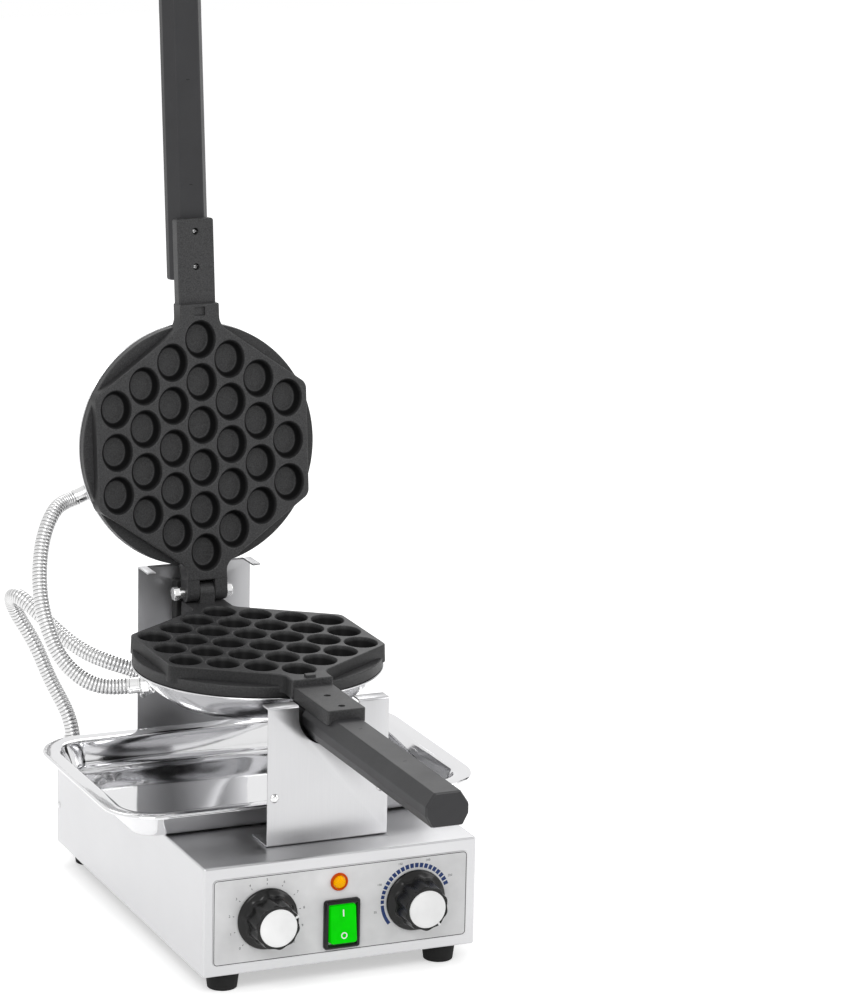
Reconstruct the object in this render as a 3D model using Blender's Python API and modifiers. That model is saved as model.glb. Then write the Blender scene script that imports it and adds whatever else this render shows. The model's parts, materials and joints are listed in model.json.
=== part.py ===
"""Bubble waffle maker: a boxed base with two knobs, a drip tray, and a
turning pair of cast waffle irons carried between two sheet brackets.

Sizes are in metres.  X runs to the right of the control panel, Y from the
panel to the back and Z up.  Everything is placed from the middle of the
control panel's foot line; one empty then moves the whole machine so that
its own box stands centred on the origin.
"""

import bmesh
import bpy
from math import asin, cos, pi, radians, sin, sqrt
from mathutils import Matrix, Vector

# Clearances and cuts
seat_gap = 0.0003
cut_overrun = 0.004
notch_steps = 16
barrel_steps = 16
curve_steps = 24
merge_distance = 0.00001
arc_steps = 6

# Base box
base_width = 0.250
base_depth = 0.384
base_height = 0.097
base_wall = 0.0015
base_edge_radius = 0.003
foot_height = 0.0165
foot_top_radius = 0.0150
foot_low_radius = 0.0125
foot_inset_x = 0.025
foot_inset_y = 0.020
floor_plate_thickness = 0.0012
base_top = foot_height + base_height

# Control panel
label_width = 0.233
label_height = 0.0765
label_thickness = 0.0004
label_corner_radius = 0.004
label_middle_height = base_top - 0.0493
knob_spacing = 0.136
knob_height = base_top - 0.0495
control_unit_size = 0.044
control_unit_depth = 0.028
shaft_radius = 0.003
shaft_clearance = 0.0005
shaft_behind = 0.012
knob_skirt_radius = 0.027
knob_skirt_thickness = 0.003
knob_neck_radius = 0.0212
knob_front_radius = 0.0190
knob_length = 0.026
knob_edge = 0.0018
flute_count = 10
flute_depth = 0.0016
flute_points = 5
cap_radius = 0.017
cap_thickness = 0.002
cap_edge = 0.0006
knob_running_gap = 0.0008

# Rocker switch and pilot lamp
switch_height = base_top - 0.0625
switch_outer_width = 0.033
switch_outer_height = 0.044
switch_face_thickness = 0.0048
switch_corner_radius = 0.0030
switch_wall = 0.0012
switch_depth = 0.020
rocker_width = 0.0240
rocker_height = 0.0336
rocker_reach = 0.0082
rocker_back = 0.0040
rocker_foot_share = 0.33
rocker_dish = 0.0005
rocker_side_gap = 0.0004
rocker_end_gap = 0.0011
rocker_axis_depth = 0.0012
rocker_tilt_degrees = -7.0
lamp_x = -0.0025
lamp_height = base_top - 0.0250
lamp_flange_radius = 0.0079
lamp_flange_thickness = 0.0022
lamp_body_radius = 0.0060
lamp_body_length = 0.018
lens_radius = 0.0056
lens_length = 0.0045
lens_profile_shares = ((0.55, 0.9), (0.9, 0.7), (1.0, 0.45))
shaft_front_share = 0.5

# Brackets
sheet = 0.0015
sheet_bend_radius = 0.0012
front_bracket_y = 0.0334
front_bracket_half_width = 0.0553
front_bracket_drop = 0.0110
front_top_flange = 0.0136
front_foot_flange = 0.0340
rear_bracket_reach = 0.1604
rear_bracket_half_width = 0.0545
rear_bracket_rise = 0.0305
rear_top_flange = 0.0275
rear_foot_flange = 0.0380
rear_ear_width = 0.0075
bracket_screw_x = 0.049
bracket_screw_height = base_top + 0.0435
screw_radius = 0.0020
screw_head_radius = 0.0040
screw_head_height = 0.0018
screw_head_share = 0.8
nut_across = 0.0075
nut_height = 0.0030
cradle_wing_drop = 0.0300
cradle_drop = 0.0545
cradle_back_y = 0.0820
cradle_step_y = 0.0518
cradle_middle_half_width = 0.036
notch_half_width = 0.0275
notch_drop = 0.0480
notch_radius = 0.028
trunnion_radius = 0.0277
trunnion_start = 0.119
trunnion_end = 0.148
bearing_half_width = 0.0220
bearing_drop = 0.0255
bearing_rise = 0.0170
bearing_thickness = 0.0128

# Drip tray
tray_half_width = 0.1705
tray_middle_x = -0.005
tray_front_y = 0.066
tray_back_y = 0.312
tray_rise = 0.027
tray_wall = 0.0009
tray_corner_radius = 0.046
tray_rim_width = 0.0150
tray_rim_fall = 0.0008
tray_rim_lip = 0.0030
tray_wall_slope = 0.0090
tray_floor_blend = 0.005

# Waffle iron, seen from above with its own axes: X across, Y towards the
# hinge, N away from the mating face into the lower half
iron_middle_y = 0.2006
iron_axis_height = 0.2480
mating_gap = 0.0005
hinge_distance = 0.1341
hinge_rise = 0.0091
lid_open_degrees = 95.9
hexagon_side_x = 0.1015
hexagon_corner_y = 0.0513
hexagon_apex_y = 0.123
hexagon_corner_radius = 0.010
neck_fillet_radius = 0.015
heel_fillet_radius = 0.012
plain_corner_radius = 0.0015
casting_depth = 0.021
ring_radius = 0.111
ring_top_depth = 0.011
land_depth = 0.016
cell_pitch_x = 0.0274
cell_pitch_y = 0.0389
cell_mouth_x = 0.0145
cell_mouth_y = 0.0172
cell_floor_x = 0.0098
cell_floor_y = 0.0124
cell_depth = 0.0105
cell_overrun = 0.001
cell_sides = 14
cells_per_column = (3, 4, 5, 6, 5, 4, 3)
neck_half_width = 0.0188
neck_under_half_width = 0.014
neck_side_depth = 0.016
neck_start = 0.090
neck_end = 0.1295
arm_half_width = 0.0175
arm_top_depth = 0.006
arm_thickness = 0.0125
arm_end = 0.2060
arm_holes = (0.1625, 0.1945)
arm_hole_radius = 0.0031
arm_counterbore = 0.0065
arm_shank_hole_radius = 0.0021
lug_distance = 0.1228
lug_length = 0.009
lug_width = 0.007
lug_height = 0.002
lug_clearance = 0.0006
knuckle_radius = 0.0085
knuckle_half_width = 0.0070
hinge_side_gap = 0.0005
hinge_outer_half_width = 0.0195
hinge_land = 0.0115
pin_radius = 0.0030
pin_clearance = 0.0003
pin_head_across = 0.011
pin_head_length = 0.011
pin_nut_length = 0.0060
tail_start = 0.100
journal_radius = 0.0070
journal_clearance = 0.0003
journal_spigot_radius = 0.0040
journal_spigot_length = 0.0120
collar_radius = 0.013
collar_thickness = 0.006

# Domes under and over the castings
dome_radius = 0.108
dome_depth = 0.036
dome_power = 4.5
dome_wall = 0.0012
dome_lip_radius = 0.1117
dome_lip_thickness = 0.0016
dome_rings = 5
dome_sides = 34
element_radius = 0.070
element_tube_radius = 0.004
element_sides = 24
element_tube_sides = 6

# Grips
grip_start = 0.150
grip_end = 0.418
grip_top_depth = 0.014
grip_side_depth = 0.025
grip_side_height = 0.008
grip_low_depth = 0.043
grip_half_width = 0.01875
grip_top_half_width = 0.0115
grip_low_half_width = 0.0135
grip_nose = 0.0035
grip_nose_share = 0.93
grip_heel = 0.003
grip_heel_share = 0.92
grip_edge_radius = 0.0015
grip_screw_head_radius = 0.0028
grip_screw_head_height = 0.0018
grip_screw_radius = 0.0018
grip_screw_length = 0.026

# Cable glands and armoured conduits
conduit_radius = 0.0072
conduit_rib = 0.0008
conduit_bore_radius = 0.0045
rib_pitch = 0.0060
bore_point_spacing = 0.012
gland_angles_lower = (147.0, 124.0)
gland_angle_upper = 157.0
gland_tilt_degrees = 10.0
gland_root_radius = 0.086
gland_body_radius = 0.0066
gland_hole_clearance = 0.0006
gland_body_inside = 0.010
gland_body_outside = 0.0105
gland_across = 0.016
gland_hex_length = 0.008
ferrule_radius = 0.0078
ferrule_length = 0.012
base_gland_x = -0.1150
base_gland_reach = 0.1674
conduit_straight_share = 1.6
conduit_straight_shares = (0, 0.5, 1)

# Routes of the two conduits between their straight ends, chosen by hand along
# the photographed curves.  The loop's points are X, Y and the height above the
# irons' turning axis; the other conduit's are X, Y and the share of the way
# down from that axis to the base's top
loop_route = (
    (-0.1218, 0.2730, -0.0537), (-0.1361, 0.2860, -0.0466), (-0.1498, 0.2990, -0.0319),
    (-0.1560, 0.3130, -0.0103), (-0.1585, 0.3280, 0.0137), (-0.1551, 0.3430, 0.0374),
    (-0.1481, 0.3570, 0.0612), (-0.1363, 0.3690, 0.0820), (-0.1244, 0.3770, 0.0925),
)
base_route = (
    (-0.0956, 0.3120, 0.3257), (-0.1091, 0.3280, 0.3026), (-0.1230, 0.3430, 0.2416),
    (-0.1353, 0.3580, 0.1509), (-0.1471, 0.3740, 0.0558), (-0.1560, 0.3880, -0.0223),
    (-0.1604, 0.4000, -0.0461), (-0.1624, 0.4100, -0.0112), (-0.1585, 0.4150, 0.0647),
    (-0.1505, 0.4130, 0.1866), (-0.1423, 0.4090, 0.2833), (-0.1363, 0.4030, 0.3888),
    (-0.1304, 0.3950, 0.5465),
)

lid_angle = radians(lid_open_degrees)
hinge_y = iron_middle_y + hinge_distance
hinge_height = iron_axis_height + hinge_rise
grip_front_y = iron_middle_y - grip_end
rear_bracket_y = iron_middle_y + rear_bracket_reach
base_gland_y = iron_middle_y + base_gland_reach
front_bracket_top = iron_axis_height - front_bracket_drop
rear_bracket_top = iron_axis_height + rear_bracket_rise
cradle_top = front_bracket_top - sheet - seat_gap
lid_back_reach = (hinge_distance + grip_end - grip_nose) * -cos(lid_angle) \
    + (grip_low_depth - hinge_rise) * sin(lid_angle)
machine_middle_x = tray_middle_x
machine_middle_y = (grip_front_y + hinge_y + lid_back_reach) / 2

for old in list(bpy.data.objects):
    bpy.data.objects.remove(old, do_unlink=True)

parts = bpy.data.collections.new("bubble_waffle_maker")
cutters = bpy.data.collections.new("cutters")
bpy.context.scene.collection.children.link(parts)
bpy.context.scene.collection.children.link(cutters)


def make_empty(name, place, parent=None):
    empty = bpy.data.objects.new(name, None)
    empty.location = place
    empty.parent = parent
    parts.objects.link(empty)
    return empty


machine = make_empty("machine_frame", (-machine_middle_x, -machine_middle_y, 0))
lower_frame = make_empty("lower_iron_frame", (0, iron_middle_y, iron_axis_height), machine)
lid_axis = make_empty("lid_axis", (0, hinge_y, hinge_height), machine)
lid_axis.rotation_euler = (-lid_angle, 0, 0)
upper_frame = make_empty("upper_iron_frame", (0, -hinge_distance, -hinge_rise), lid_axis)
bpy.context.view_layer.update()


def material(name, colour, roughness, metallic):
    made = bpy.data.materials.new(name)
    made.use_nodes = True
    shader = made.node_tree.nodes["Principled BSDF"]
    shader.inputs["Base Color"].default_value = (*colour, 1)
    shader.inputs["Roughness"].default_value = roughness
    shader.inputs["Metallic"].default_value = metallic
    return made


def add(name, mesh, colour=None, parent=machine, place=(0, 0, 0), turn=(0, 0, 0), cutter=False):
    """Puts a mesh into the scene as a part with its own material, or as a cutter."""
    made = bpy.data.objects.new(name, mesh)
    made.parent = parent
    made.location = place
    made.rotation_euler = turn
    if cutter:
        cutters.objects.link(made)
        made.hide_render = True
        made.display_type = "WIRE"
    else:
        parts.objects.link(made)
        mesh.materials.append(material(name, *colour))
    return made


def mesh_of(bm, name):
    bmesh.ops.recalc_face_normals(bm, faces=bm.faces)
    mesh = bpy.data.meshes.new(name)
    bm.to_mesh(mesh)
    bm.free()
    return mesh


def block(name, low, high):
    """A box mesh between two corners."""
    low = Vector(low)
    high = Vector(high)
    bm = bmesh.new()
    bmesh.ops.create_cube(bm, size=1)
    bmesh.ops.scale(bm, vec=high - low, verts=bm.verts)
    bmesh.ops.translate(bm, vec=(high + low) / 2, verts=bm.verts)
    return mesh_of(bm, name)


def rod(name, radius, start, end, sides=20, end_radius=None):
    """A cylinder or cone mesh from one point to another."""
    start = Vector(start)
    end = Vector(end)
    run = end - start
    bm = bmesh.new()
    bmesh.ops.create_cone(bm, cap_ends=True, segments=sides, radius1=radius,
                          radius2=radius if end_radius is None else end_radius, depth=run.length)
    turn = run.to_track_quat("Z", "Y").to_matrix().to_4x4()
    bmesh.ops.transform(bm, matrix=Matrix.Translation((start + end) / 2) @ turn, verts=bm.verts)
    return mesh_of(bm, name)


def hex_rod(name, across, start, end):
    """A hexagonal bar mesh whose flats are the given size apart."""
    return rod(name, across / sqrt(3), start, end, sides=6)


def mesh_from(made, name):
    """The evaluated mesh of an object, welded, in the object's own axes."""
    bpy.context.view_layer.update()
    mesh = bpy.data.meshes.new_from_object(made.evaluated_get(bpy.context.evaluated_depsgraph_get()))
    bm = bmesh.new()
    bm.from_mesh(mesh)
    bmesh.ops.remove_doubles(bm, verts=bm.verts, dist=merge_distance)
    bmesh.ops.recalc_face_normals(bm, faces=bm.faces)
    bm.to_mesh(mesh)
    bm.free()
    mesh.name = name
    return mesh


def outline_plate(name, points, low, high):
    """A flat outline in X and Y with a thickness between two levels of Z."""
    curve = bpy.data.curves.new(name, "CURVE")
    curve.dimensions = "2D"
    curve.fill_mode = "BOTH"
    curve.extrude = (high - low) / 2
    spline = curve.splines.new("POLY")
    spline.points.add(len(points) - 1)
    for point, (x, y) in zip(spline.points, points):
        point.co = (x, y, 0, 1)
    spline.use_cyclic_u = True
    made = bpy.data.objects.new(name, curve)
    cutters.objects.link(made)
    mesh = mesh_from(made, name)
    bpy.data.objects.remove(made, do_unlink=True)
    mesh.transform(Matrix.Translation((0, 0, (high + low) / 2)))
    return mesh


def join(target, tool, operation):
    """Cuts the tool from a part, or unites it with the part."""
    step = target.modifiers.new(tool.name, "BOOLEAN")
    step.operation = operation
    step.solver = "EXACT"
    step.object = tool


def cut(target, mesh, parent=machine):
    join(target, add(mesh.name + "_cut", mesh, parent=parent, cutter=True), "DIFFERENCE")


def unite(target, mesh, parent=machine):
    join(target, add(mesh.name + "_add", mesh, parent=parent, cutter=True), "UNION")


def soften(target, width, segments=2):
    step = target.modifiers.new("edge", "BEVEL")
    step.width = width
    step.segments = segments
    step.limit_method = "ANGLE"


def rounded_rectangle(half_x, half_y, radius, middle=(0, 0), steps=arc_steps):
    points = []
    for sx, sy, first in ((1, 1, 0), (-1, 1, 90), (-1, -1, 180), (1, -1, 270)):
        for step in range(steps + 1):
            angle = radians(first + 90 * step / steps)
            points.append((middle[0] + sx * (half_x - radius) + radius * cos(angle),
                           middle[1] + sy * (half_y - radius) + radius * sin(angle)))
    return points


def rounded_outline(corners, steps=3):
    """An outline whose corners, each X, Y and a radius, are rounded outwards or inwards."""
    points = []
    count = len(corners)
    for index in range(count):
        here = Vector(corners[index][:2])
        radius = corners[index][2]
        if not radius:
            points.append(tuple(here))
            continue
        back = (Vector(corners[index - 1][:2]) - here).normalized()
        ahead = (Vector(corners[(index + 1) % count][:2]) - here).normalized()
        half = back.angle(ahead) / 2
        centre = here + (back + ahead).normalized() * radius / sin(half)
        first = here + back * radius * cos(half) / sin(half) - centre
        sweep = -first.angle_signed(here + ahead * radius * cos(half) / sin(half) - centre)
        for step in range(steps + 1):
            points.append(tuple(centre + Matrix.Rotation(sweep * step / steps, 2) @ first))
    return points


def loft(name, rings, closed_ends=True):
    """Quads between rings of equally many points, with flat ends."""
    bm = bmesh.new()
    rows = [[bm.verts.new(point) for point in ring] for ring in rings]
    for low, high in zip(rows, rows[1:]):
        for index in range(len(low)):
            after = (index + 1) % len(low)
            bm.faces.new((low[index], low[after], high[after], high[index]))
    if closed_ends:
        bm.faces.new(rows[0])
        bm.faces.new(rows[-1])
    return mesh_of(bm, name)


def turned(name, profile, colour, sides, parent=machine, place=(0, 0, 0), turn=(0, 0, 0)):
    """A turned part: the profile runs down its outer side at +X and is spun about Z."""
    mesh = bpy.data.meshes.new(name)
    points = [(x, 0, z) for x, z in profile]
    mesh.from_pydata(points, [(i, i + 1) for i in range(len(points) - 1)], [])
    made = add(name, mesh, colour, parent, place, turn)
    step = made.modifiers.new("turn", "SCREW")
    step.steps = sides
    step.render_steps = sides
    step.use_merge_vertices = True
    step.merge_threshold = merge_distance
    step.use_normal_calculate = False
    made.data.shade_smooth()
    return made


def bent_sheet(name, section, half_width, colour):
    """A folded sheet: a section in Y and Z drawn along X, thickened inwards."""
    bm = bmesh.new()
    line = [bm.verts.new((-half_width, y, z)) for y, z in section]
    edges = [bm.edges.new(pair) for pair in zip(line, line[1:])]
    drawn = bmesh.ops.extrude_edge_only(bm, edges=edges)["geom"]
    bmesh.ops.translate(bm, vec=(2 * half_width, 0, 0),
                        verts=[item for item in drawn if isinstance(item, bmesh.types.BMVert)])
    mesh = bpy.data.meshes.new(name)
    bm.to_mesh(mesh)
    bm.free()
    made = add(name, mesh, colour)
    bend = made.modifiers.new("bend", "BEVEL")
    bend.width = sheet_bend_radius
    bend.segments = 2
    bend.limit_method = "ANGLE"
    step = made.modifiers.new("sheet", "SOLIDIFY")
    step.thickness = sheet
    step.offset = -1
    return made


steel = ((0.62, 0.62, 0.62), 0.32, 1.0)
mirror = ((0.80, 0.80, 0.80), 0.10, 1.0)
nickel = ((0.75, 0.75, 0.76), 0.22, 1.0)
cast_black = ((0.035, 0.035, 0.037), 0.55, 0.2)
plastic_black = ((0.015, 0.015, 0.015), 0.35, 0.0)
grip_grey = ((0.05, 0.05, 0.052), 0.6, 0.0)
rubber = ((0.02, 0.02, 0.02), 0.8, 0.0)


def make_base():
    half_width = base_width / 2
    bm = bmesh.new()
    bmesh.ops.create_cube(bm, size=1)
    bmesh.ops.scale(bm, vec=(base_width, base_depth, base_height), verts=bm.verts)
    bmesh.ops.translate(bm, vec=(0, base_depth / 2, foot_height + base_height / 2), verts=bm.verts)
    floor = [face for face in bm.faces if face.normal.z < -0.5]
    bmesh.ops.delete(bm, geom=floor, context="FACES_ONLY")
    mesh = bpy.data.meshes.new("base_housing")
    bm.to_mesh(mesh)
    bm.free()
    housing = add("base_housing", mesh, steel)
    soften(housing, base_edge_radius)
    wall = housing.modifiers.new("wall", "SOLIDIFY")
    wall.thickness = base_wall
    wall.offset = -1
    inner = base_wall + seat_gap
    outline = rounded_rectangle(half_width - inner, base_depth / 2 - inner, base_edge_radius,
                                (0, base_depth / 2), steps=2)
    plate = add("bottom_plate", outline_plate("bottom_plate", outline, foot_height,
                                              foot_height + floor_plate_thickness), steel)
    for sx in (-1, 1):
        for row, y in (("front", foot_inset_y), ("rear", base_depth - foot_inset_y)):
            side = "left" if sx < 0 else "right"
            x = sx * (half_width - foot_inset_x)
            add(f"foot_{row}_{side}",
                rod("foot", foot_low_radius, (x, y, 0), (x, y, foot_height - seat_gap),
                    end_radius=foot_top_radius), rubber)
    cut(housing, rod("gland_hole", gland_body_radius + gland_hole_clearance,
                     (base_gland_x, base_gland_y, base_top - base_wall - cut_overrun),
                     (base_gland_x, base_gland_y, base_top + cut_overrun)))
    return housing, plate


def panel_cuts(target):
    """The holes that the panel and its label share."""
    front = -label_thickness - seat_gap - cut_overrun
    back = base_wall + cut_overrun
    for side in (-1, 1):
        x = side * knob_spacing / 2
        cut(target, rod("shaft_hole", shaft_radius + shaft_clearance, (x, front, knob_height),
                        (x, back, knob_height)))
    half_x = rocker_width / 2 + rocker_side_gap + switch_wall + seat_gap
    half_z = rocker_height / 2 + rocker_end_gap + switch_wall + seat_gap
    cut(target, block("switch_hole", (-half_x, front, switch_height - half_z),
                      (half_x, back, switch_height + half_z)))
    cut(target, rod("lamp_hole", lamp_body_radius + seat_gap, (lamp_x, front, lamp_height),
                    (lamp_x, back, lamp_height)))


def make_panel(housing):
    panel_cuts(housing)
    outline = rounded_rectangle(label_width / 2, label_height / 2, label_corner_radius, steps=3)
    mesh = outline_plate("control_label", outline, 0, label_thickness)
    mesh.transform(Matrix.Translation((0, -seat_gap, label_middle_height))
                   @ Matrix.Rotation(pi / 2, 4, "X"))
    label = add("control_label", mesh, ((0.55, 0.55, 0.56), 0.5, 0.3))
    panel_cuts(label)
    return label


def knob_ring(radius, depth, share, count):
    """One ring of the knob: a circle whose edge is scalloped by the given share."""
    points = []
    for index in range(count):
        angle = 2 * pi * index / count
        dip = flute_depth * share * (0.5 + 0.5 * cos(flute_count * angle))
        points.append(((radius - dip) * sin(angle), -depth, (radius - dip) * cos(angle)))
    return points


def make_knob(name, side):
    """A control unit behind the panel, its shaft, and the fluted knob with its cap."""
    x = side * knob_spacing / 2
    face = label_thickness + seat_gap
    half = control_unit_size / 2
    unit_front = base_wall + seat_gap
    unit = add(name + "_unit", block(name + "_unit", (x - half, unit_front, knob_height - half),
                                     (x + half, unit_front + control_unit_depth, knob_height + half)),
               ((0.75, 0.74, 0.70), 0.6, 0.0))
    cut(unit, rod("unit_bore", shaft_radius + shaft_clearance, (x, -cut_overrun, knob_height),
                  (x, unit_front + shaft_behind + shaft_clearance, knob_height)))
    axis = make_empty(name + "_axis", (x, 0, knob_height), machine)
    shaft_front = face + knob_length * shaft_front_share
    add(name + "_shaft", rod(name + "_shaft", shaft_radius, (0, unit_front + shaft_behind, 0),
                             (0, -shaft_front, 0), sides=16), steel, axis)
    back = face + knob_running_gap
    count = flute_count * flute_points
    rings = [knob_ring(knob_skirt_radius, back, 0, count),
             knob_ring(knob_skirt_radius, back + knob_skirt_thickness / 2, 0, count),
             knob_ring(knob_skirt_radius - knob_edge, back + knob_skirt_thickness, 0, count),
             knob_ring(knob_neck_radius, back + 2 * knob_skirt_thickness, 1, count),
             knob_ring(knob_front_radius, back + knob_length - knob_edge, 1, count),
             knob_ring(knob_front_radius - knob_edge / 2, back + knob_length, 1, count)]
    knob = add(name, loft(name, rings), plastic_black, axis)
    cut(knob, rod("knob_bore", shaft_radius + seat_gap, (0, 0, 0), (0, -shaft_front - seat_gap, 0),
                  sides=16), axis)
    front = back + knob_length + seat_gap
    turned(name + "_cap", ((0, cap_thickness), (cap_radius - cap_edge, cap_thickness),
                           (cap_radius, cap_thickness - cap_edge), (cap_radius, 0), (0, 0)),
           ((0.85, 0.85, 0.85), 0.4, 0.1), 32, axis, (0, -front, 0), (pi / 2, 0, 0))


def make_switch():
    """The rocker's frame and box, and the rocker on its axis."""
    face = label_thickness + 2 * seat_gap
    open_x = rocker_width / 2 + rocker_side_gap
    open_z = rocker_height / 2 + rocker_end_gap
    outline = rounded_rectangle(switch_outer_width / 2, switch_outer_height / 2,
                                switch_corner_radius, steps=3)
    mesh = outline_plate("power_switch_frame", outline, 0, switch_face_thickness)
    mesh.transform(Matrix.Translation((0, -face, switch_height)) @ Matrix.Rotation(pi / 2, 4, "X"))
    frame = add("power_switch_frame", mesh, plastic_black)
    unite(frame, block("switch_box", (-open_x - switch_wall, -face - switch_face_thickness / 2,
                                      switch_height - open_z - switch_wall),
                       (open_x + switch_wall, switch_depth, switch_height + open_z + switch_wall)))
    cut(frame, block("switch_well", (-open_x, -face - switch_face_thickness - cut_overrun,
                                     switch_height - open_z),
                     (open_x, switch_depth - switch_wall, switch_height + open_z)))
    axis = make_empty("rocker_axis", (0, rocker_axis_depth, switch_height), machine)
    half = rocker_height / 2
    foot = half * rocker_foot_share
    profile = ((-rocker_reach, half), (-rocker_reach + rocker_dish, 0), (-rocker_reach, -half),
               (0, -half), (rocker_back, -foot), (rocker_back, foot), (0, half))
    rings = [[(sx * rocker_width / 2, y, z) for y, z in profile] for sx in (-1, 1)]
    add("power_rocker", loft("power_rocker", rings), ((0.05, 0.55, 0.15), 0.3, 0.0), axis,
        (0, 0, 0), (radians(rocker_tilt_degrees), 0, 0))
    turned("pilot_lamp_bezel",
           ((lens_radius + seat_gap, lamp_flange_thickness),
            (lamp_flange_radius - cap_edge, lamp_flange_thickness),
            (lamp_flange_radius, lamp_flange_thickness - cap_edge), (lamp_flange_radius, 0),
            (lamp_body_radius, 0), (lamp_body_radius, -lamp_body_length), (0, -lamp_body_length),
            (0, -seat_gap), (lens_radius + seat_gap, -seat_gap),
            (lens_radius + seat_gap, lamp_flange_thickness)),
           ((0.55, 0.16, 0.02), 0.4, 0.0), 16, machine, (lamp_x, -face, lamp_height), (pi / 2, 0, 0))
    turned("pilot_lamp_lens",
           [(0, lens_length)] + [(lens_radius * a, lens_length * b) for a, b in lens_profile_shares]
           + [(lens_radius, 0), (0, 0)],
           ((0.9, 0.45, 0.05), 0.2, 0.0), 16, machine, (lamp_x, -face, lamp_height), (pi / 2, 0, 0))


def notch_mesh(name, front, back):
    """The deep U that the irons' grips turn in, as a cutter between two Y planes."""
    middle = iron_axis_height - notch_drop + notch_half_width
    points = [(notch_half_width, iron_axis_height + cut_overrun)]
    for step in range(notch_steps + 1):
        angle = -pi * step / notch_steps
        points.append((notch_half_width * cos(angle), middle + notch_half_width * sin(angle)))
    points.append((-notch_half_width, iron_axis_height + cut_overrun))
    mesh = outline_plate(name, points, 0, back - front)
    mesh.transform(Matrix.Translation((0, back, 0)) @ Matrix.Rotation(pi / 2, 4, "X"))
    return mesh


def make_brackets():
    foot = base_top + seat_gap
    back = front_bracket_y + front_foot_flange
    front = bent_sheet("front_bracket",
                       ((back, foot), (front_bracket_y, foot), (front_bracket_y, front_bracket_top),
                        (front_bracket_y + front_top_flange, front_bracket_top)),
                       front_bracket_half_width, steel)
    cut(front, notch_mesh("front_notch", front_bracket_y - cut_overrun,
                          front_bracket_y + front_top_flange + cut_overrun))
    outer = rear_bracket_y + sheet
    rear = bent_sheet("rear_bracket",
                      ((outer - rear_top_flange, rear_bracket_top), (outer, rear_bracket_top),
                       (outer, foot), (outer - rear_foot_flange, foot)),
                      rear_bracket_half_width, steel)
    ear = rear_bracket_half_width - rear_ear_width
    cut(rear, block("lid_gap", (-ear, outer - rear_top_flange - cut_overrun,
                                rear_bracket_top - sheet - sheet_bend_radius),
                    (ear, rear_bracket_y - seat_gap, rear_bracket_top + cut_overrun)))
    cut(rear, rod("journal_hole", journal_radius + journal_clearance,
                  (0, rear_bracket_y - cut_overrun, iron_axis_height),
                  (0, outer + cut_overrun, iron_axis_height)))
    for end, place, bracket in (("front", front_bracket_y, front), ("rear", rear_bracket_y, rear)):
        nut_start = place + sheet + seat_gap
        nut_end = nut_start + nut_height
        head_end = place - seat_gap - screw_head_height
        z = bracket_screw_height
        for hand, x in (("left", -bracket_screw_x), ("right", bracket_screw_x)):
            cut(bracket, rod("screw_hole", screw_radius + seat_gap, (x, place - cut_overrun, z),
                             (x, place + sheet + cut_overrun, z), sides=12))
            screw = add(f"{end}_bracket_screw_{hand}",
                        rod("screw_head", screw_head_radius * screw_head_share, (x, head_end, z),
                            (x, place - seat_gap, z), sides=12, end_radius=screw_head_radius), nickel)
            unite(screw, rod("screw_shank", screw_radius, (x, head_end + screw_head_height / 2, z),
                             (x, nut_end, z), sides=12))
            nut = add(f"{end}_bracket_nut_{hand}",
                      hex_rod("bracket_nut", nut_across, (x, nut_start, z), (x, nut_end, z)), nickel)
            cut(nut, rod("nut_bore", screw_radius + seat_gap, (x, place, z),
                         (x, nut_end + cut_overrun, z), sides=12))
    return front, rear


def make_supports():
    """The cradle behind the front bracket, with the iron's round trunnion turning in
    it, and the bearing block on the rear bracket."""
    half = front_bracket_half_width - seat_gap
    front = front_bracket_y + sheet + seat_gap
    cradle = add("front_cradle", block("front_cradle", (-half, front, iron_axis_height - cradle_wing_drop),
                                       (half, cradle_back_y, cradle_top)), plastic_black)
    unite(cradle, block("cradle_root", (-cradle_middle_half_width, front, iron_axis_height - cradle_drop),
                        (cradle_middle_half_width, cradle_back_y,
                         iron_axis_height - cradle_wing_drop + cut_overrun)))
    cut(cradle, rod("cradle_bore", notch_radius, (0, front - cut_overrun, iron_axis_height),
                    (0, cradle_back_y + cut_overrun, iron_axis_height), sides=40))
    cut(cradle, notch_mesh("cradle_notch", front - cut_overrun, cradle_step_y))
    start = asin((casting_depth + seat_gap) / trunnion_radius)
    points = []
    for step in range(notch_steps + 1):
        angle = -start - (pi - 2 * start) * step / notch_steps
        points.append((trunnion_radius * cos(angle), trunnion_radius * sin(angle)))
    mesh = outline_plate("front_trunnion", points, 0, trunnion_end - trunnion_start)
    mesh.transform(Matrix.Translation((0, -trunnion_start, 0)) @ Matrix.Rotation(pi / 2, 4, "X"))
    add("front_trunnion", mesh, cast_black, lower_frame)
    back = rear_bracket_y - seat_gap
    bearing = add("rear_bearing_block",
                  block("rear_bearing_block", (-bearing_half_width, back - bearing_thickness,
                                               iron_axis_height - bearing_drop),
                        (bearing_half_width, back, iron_axis_height + bearing_rise)), plastic_black)
    cut(bearing, rod("bearing_bore", journal_radius + journal_clearance,
                     (0, back - bearing_thickness - cut_overrun, iron_axis_height),
                     (0, back + cut_overrun, iron_axis_height)))


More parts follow.
